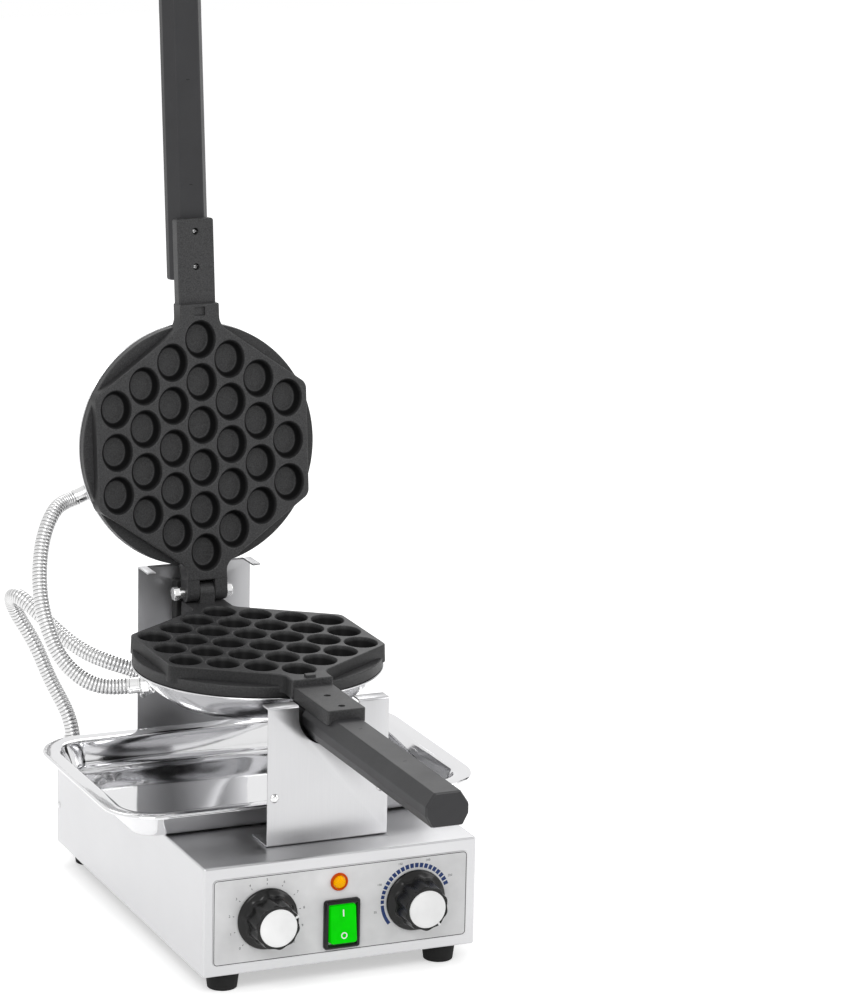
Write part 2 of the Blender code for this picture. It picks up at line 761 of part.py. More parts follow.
def make_tray():
    middle = (tray_front_y + tray_back_y) / 2
    half_y = (tray_back_y - tray_front_y) / 2
    floor = base_top + seat_gap + tray_wall
    rim = base_top + tray_rise
    steps = ((0, rim - tray_rim_lip), (0, rim), (tray_rim_width, rim - tray_rim_fall),
             (tray_rim_width + tray_wall_slope, floor + tray_floor_blend),
             (tray_rim_width + tray_wall_slope + tray_floor_blend, floor))
    rings = []
    for inset, height in steps:
        outline = rounded_rectangle(tray_half_width - inset, half_y - inset,
                                    tray_corner_radius - inset, steps=7)
        rings.append([(tray_middle_x + x, middle + y, height) for x, y in outline])
    bm = bmesh.new()
    rows = [[bm.verts.new(point) for point in ring] for ring in rings]
    for low, high in zip(rows, rows[1:]):
        for index in range(len(low)):
            after = (index + 1) % len(low)
            bm.faces.new((low[index], low[after], high[after], high[index]))
    bm.faces.new(rows[-1])
    bmesh.ops.recalc_face_normals(bm, faces=bm.faces)
    upward = [face for face in bm.faces if face.normal.z < -0.9]
    if upward:
        bmesh.ops.reverse_faces(bm, faces=bm.faces)
    mesh = bpy.data.meshes.new("drip_tray")
    bm.to_mesh(mesh)
    bm.free()
    tray = add("drip_tray", mesh, mirror)
    wall = tray.modifiers.new("wall", "SOLIDIFY")
    wall.thickness = tray_wall
    wall.offset = -1


def cell_rings(x, y):
    """A cup of the waffle: an oval mouth, a tapered wall and a flat floor."""
    top = -mating_gap / 2
    taper_x = (cell_mouth_x - cell_floor_x) / cell_depth
    taper_y = (cell_mouth_y - cell_floor_y) / cell_depth
    rings = []
    for depth in (-cell_overrun, cell_depth):
        along_x = cell_mouth_x - taper_x * depth
        along_y = cell_mouth_y - taper_y * depth
        rings.append([(x + along_x * cos(2 * pi * k / cell_sides),
                       y + along_y * sin(2 * pi * k / cell_sides), top - depth)
                      for k in range(cell_sides)])
    return rings


def cell_places():
    columns = len(cells_per_column)
    for column, count in enumerate(cells_per_column):
        x = (column - (columns - 1) / 2) * cell_pitch_x
        for row in range(count):
            yield x, (row - (count - 1) / 2) * cell_pitch_y


def make_casting(name, parent):
    """One iron casting without its hinge end, lying mating face up."""
    top = -mating_gap / 2
    slope = (hexagon_apex_y - hexagon_corner_y) / hexagon_side_x
    heel_half = hinge_outer_half_width
    tail = hinge_distance - hinge_land
    half_outline = ((neck_half_width, -neck_end, plain_corner_radius),
                    (neck_half_width, slope * neck_half_width - hexagon_apex_y, neck_fillet_radius),
                    (hexagon_side_x, -hexagon_corner_y, hexagon_corner_radius),
                    (hexagon_side_x, hexagon_corner_y, hexagon_corner_radius),
                    (heel_half, hexagon_apex_y - slope * heel_half, heel_fillet_radius),
                    (heel_half, tail, 0))
    other_half = [(-x, y, radius) for x, y, radius in reversed(half_outline)]
    outline = rounded_outline(list(half_outline) + other_half)
    plate = add(name, outline_plate(name, outline, -land_depth, top), cast_black, parent)
    unite(plate, rod("ring", ring_radius, (0, 0, -casting_depth), (0, 0, -ring_top_depth), sides=56),
          parent)
    section = ((-neck_half_width, top), (-neck_half_width, -neck_side_depth),
               (-neck_under_half_width, -casting_depth), (neck_under_half_width, -casting_depth),
               (neck_half_width, -neck_side_depth), (neck_half_width, top))
    unite(plate, loft("neck", [[(x, -y, z) for x, z in section] for y in (neck_start, neck_end)]),
          parent)
    unite(plate, block("arm", (-arm_half_width, -arm_end, -arm_top_depth - arm_thickness),
                       (arm_half_width, -neck_start, -arm_top_depth)), parent)
    unite(plate, block("heel", (-hinge_outer_half_width, tail_start, -casting_depth),
                       (hinge_outer_half_width, tail, top)), parent)
    for distance in arm_holes:
        cut(plate, rod("arm_hole", arm_hole_radius, (0, -distance, 0),
                       (0, -distance, -arm_top_depth - arm_counterbore), sides=12), parent)
        cut(plate, rod("shank_hole", arm_shank_hole_radius, (0, -distance, 0),
                       (0, -distance, -casting_depth), sides=12), parent)
    bm = bmesh.new()
    for x, y in cell_places():
        rows = [[bm.verts.new(point) for point in ring] for ring in cell_rings(x, y)]
        for low, high in zip(rows, rows[1:]):
            for index in range(cell_sides):
                after = (index + 1) % cell_sides
                bm.faces.new((low[index], low[after], high[after], high[index]))
        bm.faces.new(rows[0])
        bm.faces.new(rows[-1])
    cut(plate, mesh_of(bm, name + "_cells"), parent)
    return plate


def mirrored(mesh, name):
    """The upper half's copy of a mesh, turned over about the mating face."""
    copy = mesh.copy()
    copy.name = name
    copy.transform(Matrix.Diagonal((1, 1, -1, 1)))
    copy.flip_normals()
    copy.materials.clear()
    return copy


def make_plates():
    top = -mating_gap / 2
    lower = make_casting("lower_plate", lower_frame)
    half = hinge_outer_half_width
    tail_end = hinge_distance + knuckle_radius
    unite(lower, block("tail", (-half, tail_start, -casting_depth),
                       (half, tail_end, top - hinge_side_gap)), lower_frame)
    root = hinge_distance - knuckle_radius
    unite(lower, loft("knuckle", [[(x, y, z) for y, z in knuckle_outline(root, tail_end)]
                                  for x in (-knuckle_half_width, knuckle_half_width)]), lower_frame)
    cut(lower, rod("pin_bore", pin_radius + pin_clearance, (-half, hinge_distance, hinge_rise),
                   (half, hinge_distance, hinge_rise), sides=16), lower_frame)
    spigot = tail_end - journal_spigot_length
    cut(lower, rod("spigot_bore", journal_spigot_radius + seat_gap, (0, spigot - seat_gap, 0),
                   (0, tail_end + cut_overrun, 0), sides=16), lower_frame)
    unite(lower, block("lug", (-lug_length / 2, -lug_distance - lug_width / 2, top - lug_height),
                       (lug_length / 2, -lug_distance + lug_width / 2, lug_height)), lower_frame)

    flat = make_casting("upper_plate_flat", lower_frame)
    for side in (-1, 1):
        near = side * (knuckle_half_width + hinge_side_gap)
        far = side * half
        unite(flat, loft("hinge_lug", [[(x, y, z) for y, z in lug_outline()]
                                       for x in (min(near, far), max(near, far))]), lower_frame)
    cut(flat, block("knuckle_gap", (-knuckle_half_width - hinge_side_gap, hinge_distance - hinge_land,
                                    -casting_depth - cut_overrun),
                    (knuckle_half_width + hinge_side_gap, tail_end + cut_overrun, 0)), lower_frame)
    cut(flat, rod("lug_bore", pin_radius + pin_clearance,
                  (-half - cut_overrun, hinge_distance, -hinge_rise),
                  (half + cut_overrun, hinge_distance, -hinge_rise), sides=16), lower_frame)
    deep = lug_height + lug_clearance
    cut(flat, block("lug_slot", (-lug_length / 2 - lug_clearance,
                                 -lug_distance - lug_width / 2 - lug_clearance, -deep),
                    (lug_length / 2 + lug_clearance, -lug_distance + lug_width / 2 + lug_clearance,
                     cut_overrun)), lower_frame)
    mesh = mirrored(mesh_from(flat, "upper_plate"), "upper_plate")
    bpy.data.objects.remove(flat, do_unlink=True)
    add("upper_plate", mesh, cast_black, upper_frame)


def knuckle_outline(root, tail_end):
    """The lower half's middle knuckle: a round top on a square stem from the tail."""
    points = []
    for step in range(barrel_steps + 1):
        angle = pi * step / barrel_steps
        points.append((hinge_distance + knuckle_radius * cos(angle),
                       hinge_rise + knuckle_radius * sin(angle)))
    return points + [(root, -land_depth), (tail_end, -land_depth)]


def lug_outline():
    """The upper half's hinge lug before it is turned over: a barrel under its plate."""
    points = []
    for step in range(barrel_steps + 1):
        angle = pi / 2 - pi * step / barrel_steps
        points.append((hinge_distance + knuckle_radius * cos(angle),
                       -hinge_rise + knuckle_radius * sin(angle)))
    root = hinge_distance - hinge_land - cut_overrun
    return points + [(root, -casting_depth), (root, -mating_gap / 2)]


def dome_drop(radius):
    return dome_depth * (1 - (radius / dome_radius) ** dome_power)


def gland_frame(angle_degrees):
    """Place and axes of a gland on the lower dome: its Z points out along the cable."""
    angle = radians(angle_degrees)
    tilt = radians(gland_tilt_degrees)
    out = Vector((cos(angle), sin(angle), 0))
    root = out * gland_root_radius
    root.z = -casting_depth - seat_gap - dome_lip_thickness - dome_drop(gland_root_radius)
    along = out * cos(tilt) + Vector((0, 0, -sin(tilt)))
    return Matrix.Translation(root) @ along.to_track_quat("Z", "Y").to_matrix().to_4x4()


def gland_meshes(name):
    """A hexagon gland with its threaded body, and the ferrule after it, along +Z."""
    start = gland_body_outside
    end = start + gland_hex_length
    tip = end + seat_gap + ferrule_length
    return (hex_rod(name, gland_across, (0, 0, start), (0, 0, end)),
            rod(name + "_body", gland_body_radius, (0, 0, -gland_body_inside),
                (0, 0, start + gland_hex_length / 2), sides=20),
            rod(name + "_bore", conduit_bore_radius, (0, 0, -gland_body_inside - cut_overrun),
                (0, 0, end + cut_overrun), sides=12),
            rod(name + "_ferrule", ferrule_radius, (0, 0, end + seat_gap), (0, 0, tip), sides=24),
            rod(name + "_ferrule_bore", conduit_bore_radius, (0, 0, end),
                (0, 0, tip + cut_overrun), sides=12))


def conduit_start(frame):
    """Where a conduit leaves its ferrule, and which way it points."""
    reach = gland_body_outside + gland_hex_length + ferrule_length + 2 * seat_gap
    return frame @ Vector((0, 0, reach)), (frame.to_3x3() @ Vector((0, 0, 1))).normalized()


def make_glands(half, parent, dome, angles, flip):
    """Glands and ferrules of one iron half, and their holes in its dome."""
    for number, angle in enumerate(angles):
        name = f"{half}_gland" if len(angles) == 1 else f"{half}_gland_{('loop', 'base')[number]}"
        place = gland_frame(angle)
        hexagon, body, bore, sleeve, sleeve_bore = gland_meshes(name)
        hole = rod(name + "_hole", gland_body_radius + gland_hole_clearance,
                   (0, 0, -gland_body_inside - cut_overrun), (0, 0, gland_body_outside), sides=20)
        for mesh in (hexagon, body, bore, sleeve, sleeve_bore, hole):
            mesh.transform(place)
            if flip:
                mesh.transform(Matrix.Diagonal((1, 1, -1, 1)))
                mesh.flip_normals()
        gland = add(name, hexagon, nickel, parent)
        unite(gland, body, parent)
        cut(gland, bore, parent)
        ferrule = add(name + "_ferrule", sleeve, nickel, parent)
        cut(ferrule, sleeve_bore, parent)
        cut(dome, hole, parent)


def make_domes():
    lip_top = -casting_depth - seat_gap
    lip_low = lip_top - dome_lip_thickness
    outer = [(dome_radius * sin(pi / 2 * k / dome_rings), 0) for k in range(dome_rings, -1, -1)]
    outer = [(x, lip_low - dome_drop(x)) for x, _ in outer]
    inner = [(max(x - dome_wall, 0), z + dome_wall) for x, z in reversed(outer)]
    inner[-1] = (inner[-1][0], lip_top)
    profile = inner + [(dome_lip_radius, lip_top), (dome_lip_radius, lip_low)] + outer
    for half, parent, angles in (("lower", lower_frame, gland_angles_lower),
                                 ("upper", upper_frame, (gland_angle_upper,))):
        flip = half == "upper"
        name = half + "_dome"
        dome = turned(name, profile, mirror, dome_sides, lower_frame)
        if flip:
            mesh = mirrored(mesh_from(dome, name), name)
            bpy.data.objects.remove(dome, do_unlink=True)
            dome = add(name, mesh, mirror, parent)
            mesh.shade_smooth()
        make_glands(half, parent, dome, angles, flip)
        bm = bmesh.new()
        rings = []
        for k in range(element_sides):
            around = 2 * pi * k / element_sides
            ring = []
            for i in range(element_tube_sides):
                angle = 2 * pi * i / element_tube_sides
                reach = element_radius + element_tube_radius * cos(angle)
                ring.append(bm.verts.new((reach * cos(around), reach * sin(around),
                                          lip_top - element_tube_radius * (1 - sin(angle)))))
            rings.append(ring)
        for k, ring in enumerate(rings):
            after = rings[(k + 1) % element_sides]
            for i in range(element_tube_sides):
                j = (i + 1) % element_tube_sides
                bm.faces.new((ring[i], ring[j], after[j], after[i]))
        mesh = mesh_of(bm, half + "_heating_element")
        if flip:
            mesh = mirrored(mesh, half + "_heating_element")
        add(half + "_heating_element", mesh, steel, parent)


def grip_section(share, distance):
    points = ((-grip_top_half_width, grip_top_depth), (grip_top_half_width, grip_top_depth),
              (grip_half_width, grip_side_depth), (grip_half_width, grip_side_depth + grip_side_height),
              (grip_low_half_width, grip_low_depth), (-grip_low_half_width, grip_low_depth),
              (-grip_half_width, grip_side_depth + grip_side_height),
              (-grip_half_width, grip_side_depth))
    middle = (grip_top_depth + grip_low_depth) / 2
    return [(x * share, -distance, -middle - (z - middle) * share) for x, z in points]


def make_grips():
    rings = [grip_section(grip_heel_share, grip_start), grip_section(1, grip_start + grip_heel),
             grip_section(1, grip_end - grip_nose), grip_section(grip_nose_share, grip_end)]
    arm_low = arm_top_depth + arm_thickness
    for half, parent in (("lower", lower_frame), ("upper", upper_frame)):
        sign = 1 if half == "lower" else -1
        flip = Matrix.Diagonal((1, 1, sign, 1))
        name = half + "_grip"
        holes = [rod("grip_bore", grip_screw_radius + seat_gap, (0, -distance, 0),
                     (0, -distance, -arm_top_depth - grip_screw_length - seat_gap), sides=12)
                 for distance in arm_holes]
        screws = [grip_screw_meshes(distance) for distance in arm_holes]
        body = loft(name, rings)
        rebate = block("arm_rebate", (-grip_half_width - cut_overrun, -arm_end - seat_gap,
                                      -arm_low - seat_gap),
                       (grip_half_width + cut_overrun, -grip_start + cut_overrun, 0))
        for mesh in [body, rebate] + holes + [mesh for pair in screws for mesh in pair]:
            mesh.transform(flip)
            if sign < 0:
                mesh.flip_normals()
        grip = add(name, body, grip_grey, parent)
        soften(grip, grip_edge_radius)
        cut(grip, rebate, parent)
        for hole in holes:
            cut(grip, hole, parent)
        for number, (head, shank) in enumerate(screws, 1):
            screw = add(f"{name}_screw_{number}", head, nickel, parent)
            unite(screw, shank, parent)


def grip_screw_meshes(distance):
    """A pan head sunk in the arm's counterbore, and its shank down into the grip."""
    seat = seat_gap - arm_top_depth - arm_counterbore
    top = seat + grip_screw_head_height
    return (rod("grip_screw", grip_screw_head_radius, (0, -distance, seat), (0, -distance, top),
                sides=16, end_radius=grip_screw_head_radius * screw_head_share),
            rod("grip_shank", grip_screw_radius, (0, -distance, (seat + top) / 2),
                (0, -distance, -arm_top_depth - grip_screw_length), sides=12))


def make_pivots():
    """The hinge pin with its nut, and the turning journal at the back with its collar."""
    half = hinge_outer_half_width + seat_gap
    place = Vector((0, hinge_distance, hinge_rise))
    left = place + Vector((-half, 0, 0))
    right = place + Vector((half, 0, 0))
    end = Vector((pin_nut_length, 0, 0))
    pin = add("hinge_pin", hex_rod("hinge_pin", pin_head_across,
                                   left - Vector((pin_head_length, 0, 0)), left), nickel, lower_frame)
    unite(pin, rod("pin_shank", pin_radius, left - Vector((pin_head_length / 2, 0, 0)), right + end,
                   sides=16), lower_frame)
    nut = add("hinge_nut", hex_rod("hinge_nut", pin_head_across, right, right + end), nickel,
              lower_frame)
    cut(nut, rod("nut_thread", pin_radius + pin_clearance, right - end, right + 2 * end, sides=16),
        lower_frame)
    tail_end = hinge_distance + knuckle_radius
    start = tail_end + seat_gap
    bracket_back = rear_bracket_y + sheet - iron_middle_y
    collar = bracket_back + seat_gap
    shaft = add("rear_journal", rod("rear_journal", journal_radius, (0, start, 0),
                                    (0, collar + collar_thickness, 0), sides=24), steel, lower_frame)
    unite(shaft, rod("spigot", journal_spigot_radius, (0, tail_end - journal_spigot_length, 0),
                     (0, start + seat_gap, 0), sides=16), lower_frame)
    ring = add("journal_collar", rod("journal_collar", collar_radius, (0, collar, 0),
                                     (0, collar + collar_thickness, 0), sides=24), steel, lower_frame)
    cut(ring, rod("collar_bore", journal_radius + seat_gap, (0, collar - cut_overrun, 0),
                  (0, collar + collar_thickness + cut_overrun, 0)), lower_frame)


def between(first, last, share):
    return first * (1 - share) + last * share


def smooth_points(start, start_way, end, end_way, route, spacing):
    """Evenly spaced points on a smooth curve through a route with straight ends.

    The curve is a Catmull-Rom line whose steps go with the root of each chord, which
    never loops back where two points of the route come close together.
    """
    straight = conduit_straight_share * conduit_radius
    knots = [start + start_way * straight * share for share in conduit_straight_shares]
    knots += [Vector(point) for point in route]
    knots += [end + end_way * straight * share for share in reversed(conduit_straight_shares)]
    ends = [knots[0] * 2 - knots[1], knots[-1] * 2 - knots[-2]]
    knots = ends[:1] + knots + ends[1:]
    dense = []
    for p0, p1, p2, p3 in zip(knots, knots[1:], knots[2:], knots[3:]):
        t1 = sqrt((p1 - p0).length)
        t2 = t1 + sqrt((p2 - p1).length)
        t3 = t2 + sqrt((p3 - p2).length)
        for k in range(curve_steps):
            share = k / curve_steps
            t = t1 + (t2 - t1) * share
            low = between(p0, p1, t / t1)
            middle = between(p1, p2, share)
            high = between(p2, p3, (t - t2) / (t3 - t2))
            dense.append(between(between(low, middle, t / t2),
                                 between(middle, high, (t - t1) / (t3 - t1)), share))
    dense.append(knots[-2])
    lengths = [0]
    for a, b in zip(dense, dense[1:]):
        lengths.append(lengths[-1] + (b - a).length)
    count = round(lengths[-1] / spacing)
    points = []
    index = 0
    for k in range(count + 1):
        want = lengths[-1] * k / count
        while index < len(lengths) - 2 and lengths[index + 1] < want:
            index += 1
        share = (want - lengths[index]) / (lengths[index + 1] - lengths[index])
        points.append(dense[index].lerp(dense[index + 1], share))
    return points, lengths[-1]


def tube_mesh(name, points, radii):
    """A tube through points, each with its own radius, as a welded mesh."""
    curve = bpy.data.curves.new(name, "CURVE")
    curve.dimensions = "3D"
    curve.bevel_depth = 1
    curve.bevel_resolution = 2
    curve.use_fill_caps = True
    curve.twist_mode = "MINIMUM"
    spline = curve.splines.new("POLY")
    spline.points.add(len(points) - 1)
    for target, place, radius in zip(spline.points, points, radii):
        target.co = (*place, 1)
        target.radius = radius
    made = bpy.data.objects.new(name, curve)
    cutters.objects.link(made)
    mesh = mesh_from(made, name)
    bpy.data.objects.remove(made, do_unlink=True)
    return mesh


def make_conduit(name, start, end, route):
    """A ribbed steel conduit with its bore, between two glands."""
    start_place, start_way = start
    end_place, end_way = end
    points, length = smooth_points(start_place, start_way, end_place, end_way, route, rib_pitch / 2)
    radii = [conduit_radius - (conduit_rib if k % 2 else 0) for k in range(len(points))]
    conduit = add(name, tube_mesh(name, points, radii), nickel)
    bore, _ = smooth_points(start_place, start_way, end_place, end_way, route, bore_point_spacing)
    bore = [start_place - start_way * cut_overrun] + bore + [end_place - end_way * cut_overrun]
    cut(conduit, tube_mesh(name + "_bore", bore, [conduit_bore_radius] * len(bore)))
    print(f"{name} is {length:.4f} m long with {len(points) // 2} ribs")


def make_conduits():
    to_machine = machine.matrix_world.inverted()
    lower = to_machine @ lower_frame.matrix_world
    upper = to_machine @ upper_frame.matrix_world @ Matrix.Diagonal((1, 1, -1, 1))
    route = [(x, y, iron_axis_height + rise) for x, y, rise in loop_route]
    make_conduit("loop_conduit", conduit_start(lower @ gland_frame(gland_angles_lower[0])),
                 conduit_start(upper @ gland_frame(gland_angle_upper)), route)
    top = base_top + seat_gap
    place = Matrix.Translation((base_gland_x, base_gland_y, top - gland_body_outside))
    hexagon, body, bore, _, _ = gland_meshes("base_gland")
    for mesh in (hexagon, body, bore):
        mesh.transform(place)
    gland = add("base_gland", hexagon, nickel)
    unite(gland, body)
    cut(gland, bore)
    exit_place = Vector((base_gland_x, base_gland_y, top + gland_hex_length + seat_gap))
    route = [(x, y, iron_axis_height - share * (iron_axis_height - base_top))
             for x, y, share in base_route]
    make_conduit("base_conduit", conduit_start(lower @ gland_frame(gland_angles_lower[1])),
                 (exit_place, Vector((0, 0, 1))), route)


base_housing, bottom_plate = make_base()
make_panel(base_housing)
make_knob("timer_knob", -1)
make_knob("thermostat_knob", 1)
make_switch()
make_brackets()
make_supports()
make_tray()
make_plates()
make_domes()
make_grips()
make_pivots()
make_conduits()
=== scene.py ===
import json
import bmesh
import bpy
import numpy as np
from mathutils import Matrix, Vector
from mathutils.geometry import tessellate_polygon


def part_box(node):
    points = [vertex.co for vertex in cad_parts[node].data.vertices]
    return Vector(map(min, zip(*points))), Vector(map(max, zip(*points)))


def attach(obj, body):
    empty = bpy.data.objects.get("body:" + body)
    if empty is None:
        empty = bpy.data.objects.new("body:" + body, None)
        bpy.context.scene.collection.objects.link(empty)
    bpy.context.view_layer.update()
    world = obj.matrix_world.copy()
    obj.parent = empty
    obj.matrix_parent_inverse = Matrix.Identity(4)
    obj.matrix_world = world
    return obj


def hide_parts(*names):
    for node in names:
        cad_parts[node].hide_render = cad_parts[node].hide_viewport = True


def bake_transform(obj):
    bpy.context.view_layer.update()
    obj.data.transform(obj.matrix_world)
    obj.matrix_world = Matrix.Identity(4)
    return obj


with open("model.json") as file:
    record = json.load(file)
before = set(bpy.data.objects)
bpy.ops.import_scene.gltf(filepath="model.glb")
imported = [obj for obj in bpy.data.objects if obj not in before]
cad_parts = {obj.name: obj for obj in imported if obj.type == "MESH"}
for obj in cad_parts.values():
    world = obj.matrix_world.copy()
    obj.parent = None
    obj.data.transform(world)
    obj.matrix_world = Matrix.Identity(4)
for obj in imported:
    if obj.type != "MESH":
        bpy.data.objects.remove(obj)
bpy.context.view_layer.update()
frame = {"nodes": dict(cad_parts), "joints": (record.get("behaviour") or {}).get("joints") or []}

mm = 0.001
seatGap = 0.3       # between pieces that rest on each other, as in the solids


def nodeBox(name):
    # a solid's lowest and highest corner in millimetres
    return [np.array(corner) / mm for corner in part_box(name)]


# The frame gives the places: the housing's front, the two turning axes and the gland seats
joints = {joint["name"]: joint for joint in frame["joints"]}
housingLow, housingHigh = nodeBox("base_housing")
flipAxis = np.array(joints["iron_flip"]["pos_m"]) / mm
lidAxis = np.array(joints["lid_hinge"]["pos_m"]) / mm
midX = (housingLow[0] + housingHigh[0]) / 2
frontY = housingLow[1]
baseTop = housingHigh[2]
axisZ = flipAxis[2]
machine = Matrix.Translation((midX, frontY, 0))     # X from the middle, Y from the panel's face

iron = {
    "hingeDistance": lidAxis[1] - flipAxis[1], "hingeRise": lidAxis[2] - flipAxis[2],
    "openDegrees": joints["lid_hinge"]["range_deg"][1],
    "sideX": 101.5, "cornerY": 51.3, "apexY": 123.0, "cornerRadius": 10.0, "neckRadius": 15.0,
    "matingGap": 0.25, "edge": 1.3, "landDepth": 16.0, "draft": 0.5,
    "ringRadius": 111.0, "ringTop": 11.0, "ringInner": 60.0, "depth": 21.0,
    "neckHalf": 18.8, "neckFoot": 14.0, "neckStart": 95.0, "neckEnd": 129.5, "endRadius": 1.5,
    "armHalf": 17.5, "armTop": 6.0, "armThick": 12.5, "armStart": 120.0, "armEnd": 206.0,
    "armHoles": (162.5, 194.5), "holeRadius": 3.1, "heelTop": 12.0, "rootRadius": 12.0,
    "knuckleRadius": 8.5, "knuckleHalf": 7.0, "knuckleFoot": 14.0, "lugInner": 7.5, "lugOuter": 19.5,
    "hingeLand": 11.5, "lugRoot": 6.0, "lugInset": 0.3,
    "lugDistance": 122.8, "lugSize": (9.0, 7.0, 2.0), "lugClearance": 0.6,
    "trunnionRadius": 27.7, "trunnionStart": 119.0, "trunnionEnd": 148.0,
}
cell = {"pitchX": 27.4, "pitchY": 38.9, "columns": (3, 4, 5, 6, 5, 4, 3), "mouth": (14.5, 17.2),
        "floor": (10.2, 12.8), "depth": 10.5, "lip": 1.1, "fillet": 1.6, "sides": 44}


# Transforms from an iron's own axes into the machine: the lower one is level, the upper one is
# mirrored about the mating face and leans back on the hinge
def ironMatrix(upper):
    base = Matrix.Translation(flipAxis)
    if not upper:
        return base
    tilt = Matrix.Rotation(-np.radians(iron["openDegrees"]), 4, "X")
    back = Matrix.Translation((0, -iron["hingeDistance"], -iron["hingeRise"]))
    return Matrix.Translation(lidAxis) @ tilt @ back @ Matrix.Diagonal((1, 1, -1, 1))


# Surfaces are (points, faces) pairs in millimetres; these small tools make and move them
def gridSurface(points, closeU=False, closeV=False):
    # points[u, v] with quads between neighbours, wrapped where asked
    nu, nv = points.shape[:2]
    index = np.arange(nu * nv).reshape(nu, nv)
    if closeU:
        index = np.vstack([index, index[:1]])
    if closeV:
        index = np.hstack([index, index[:, :1]])
    quads = np.stack([index[:-1, :-1], index[1:, :-1], index[1:, 1:], index[:-1, 1:]], -1)
    return points.reshape(-1, 3), [tuple(q) for q in quads.reshape(-1, 4).tolist()]


def merged(surfaces):
    # several surfaces as one, with the face numbers moved on
    points, faces, start = [], [], 0
    for surface in surfaces:
        points.append(np.asarray(surface[0], float))
        faces += [tuple(i + start for i in face) for face in surface[1]]
        start += len(surface[0])
    return np.vstack(points), faces


def moved(surface, matrix):
    # the same faces with their points turned and shifted
    m = np.array(matrix)
    return surface[0] @ m[:3, :3].T + m[:3, 3], surface[1]


def lathe(profile, sides=64):
    # radius and height along a profile, turned about Z; a radius of 0 closes a pole
    profile = np.array(profile, float)
    angle = np.linspace(0, 2 * np.pi, sides, endpoint=False)
    r, z = profile[:, :1], profile[:, 1:]
    points = np.stack([r * np.cos(angle), r * np.sin(angle), z + 0 * angle], -1)
    return gridSurface(points, closeV=True)


def arc(centre, radius, first, last, steps):
    # points of a circular arc between two angles in degrees
    angle = np.radians(np.linspace(first, last, steps + 1))
    return np.stack([centre[0] + radius * np.cos(angle), centre[1] + radius * np.sin(angle)], -1)


def outline(corners, steps=8):
    # a closed outline whose corners (x, y, radius), given anticlockwise, are rounded inwards or out
    corners = np.array(corners, float)
    out = []
    for k in range(len(corners)):
        here = corners[k, :2]
        back = corners[k - 1, :2] - here
        ahead = corners[(k + 1) % len(corners), :2] - here
        back, ahead = back / np.linalg.norm(back), ahead / np.linalg.norm(ahead)
        half = np.arccos(np.clip(back @ ahead, -1, 1)) / 2
        radius = corners[k, 2]
        if radius <= 0:
            out.append(here[None])
            continue
        middle = back + ahead
        centre = here + middle / np.linalg.norm(middle) * radius / np.sin(half)
        first = here + back * radius / np.tan(half) - centre
        last = here + ahead * radius / np.tan(half) - centre
        a0, a1 = np.arctan2(first[1], first[0]), np.arctan2(last[1], last[0])
        sweep = (a1 - a0 + np.pi) % (2 * np.pi) - np.pi
        t = a0 + sweep * np.linspace(0, 1, steps + 1)
        out.append(centre + radius * np.stack([np.cos(t), np.sin(t)], -1))
    points = np.vstack(out)
    keep = np.linalg.norm(points - np.roll(points, 1, 0), axis=1) > 1e-4
    return points[keep]


def outlineNormals(points):
    # the outward side of each point of an anticlockwise outline
    ahead = np.roll(points, -1, 0) - points
    ahead /= np.linalg.norm(ahead, axis=1, keepdims=True)
    side = np.stack([ahead[:, 1], -ahead[:, 0]], -1)
    mean = side + np.roll(side, 1, 0)
    return mean / np.maximum((mean ** 2).sum(1, keepdims=True) / 2, 0.2)


def sweepOutline(points, profile):
    # each profile step (offset, height) is the outline pushed out by the offset, at that height
    normal = outlineNormals(points)
    rings = [np.column_stack([points + normal * off, np.full(len(points), z)]) for off, z in profile]
    return gridSurface(np.array(rings), closeV=True)


def capSurface(points, z, holes=()):
    # a flat face inside an outline, with holes
    loops = [points] + list(holes)
    flat = np.vstack(loops)
    triangles = tessellate_polygon([[Vector((x, y, 0)) for x, y in loop] for loop in loops])
    return np.column_stack([flat, np.full(len(flat), z)]), [tuple(t) for t in triangles]


def prism(points, low, high, edge=0.6, steps=4, holes=()):
    # a plate with rounded edges: the outline carried up through a quarter round at both rims
    down = arc((-edge, low + edge), edge, -90, 0, steps)
    up = arc((-edge, high - edge), edge, 0, 90, steps)
    profile = np.vstack([down, up])
    normal = outlineNormals(points)
    inner = points - normal * edge
    parts = [sweepOutline(points, profile), capSurface(inner, low, holes), capSurface(inner, high, holes)]
    for hole in holes:
        parts.append(sweepOutline(hole, [(0, low), (0, high)]))
    return merged(parts)


def circle(x, y, radius, sides=24):
    # evenly spread points, anticlockwise
    angle = np.linspace(0, 2 * np.pi, sides, endpoint=False)
    return np.stack([x + radius * np.cos(angle), y + radius * np.sin(angle)], -1)


def box(halfX, halfY, radius, x=0.0, y=0.0):
    # corners of a rounded rectangle, anticlockwise
    return [(x + halfX, y - halfY, radius), (x + halfX, y + halfY, radius),
            (x - halfX, y + halfY, radius), (x - halfX, y - halfY, radius)]


def hexBar(length, across, chamfer=0.9, sides=72):
    # a hexagon's polar radius, cut down near each end by a cone that chamfers its corners
    angle = np.linspace(0, 2 * np.pi, sides, endpoint=False)
    hexagon = across / 2 / np.cos((angle + np.pi / 6) % (np.pi / 3) - np.pi / 6)
    z = np.array([0, chamfer * 0.5, chamfer, length - chamfer, length - chamfer * 0.5, length])
    fromEnd = np.minimum(z, length - z)
    limit = across / 2 * 0.96 + fromEnd[:, None] * 2.2
    radius = np.minimum(hexagon[None], limit)
    points = np.stack([radius * np.cos(angle), radius * np.sin(angle), z[:, None] + 0 * angle], -1)
    closed = np.concatenate([points[:1] * [0, 0, 1], points, points[-1:] * [0, 0, 1]])
    return gridSurface(closed, closeV=True)


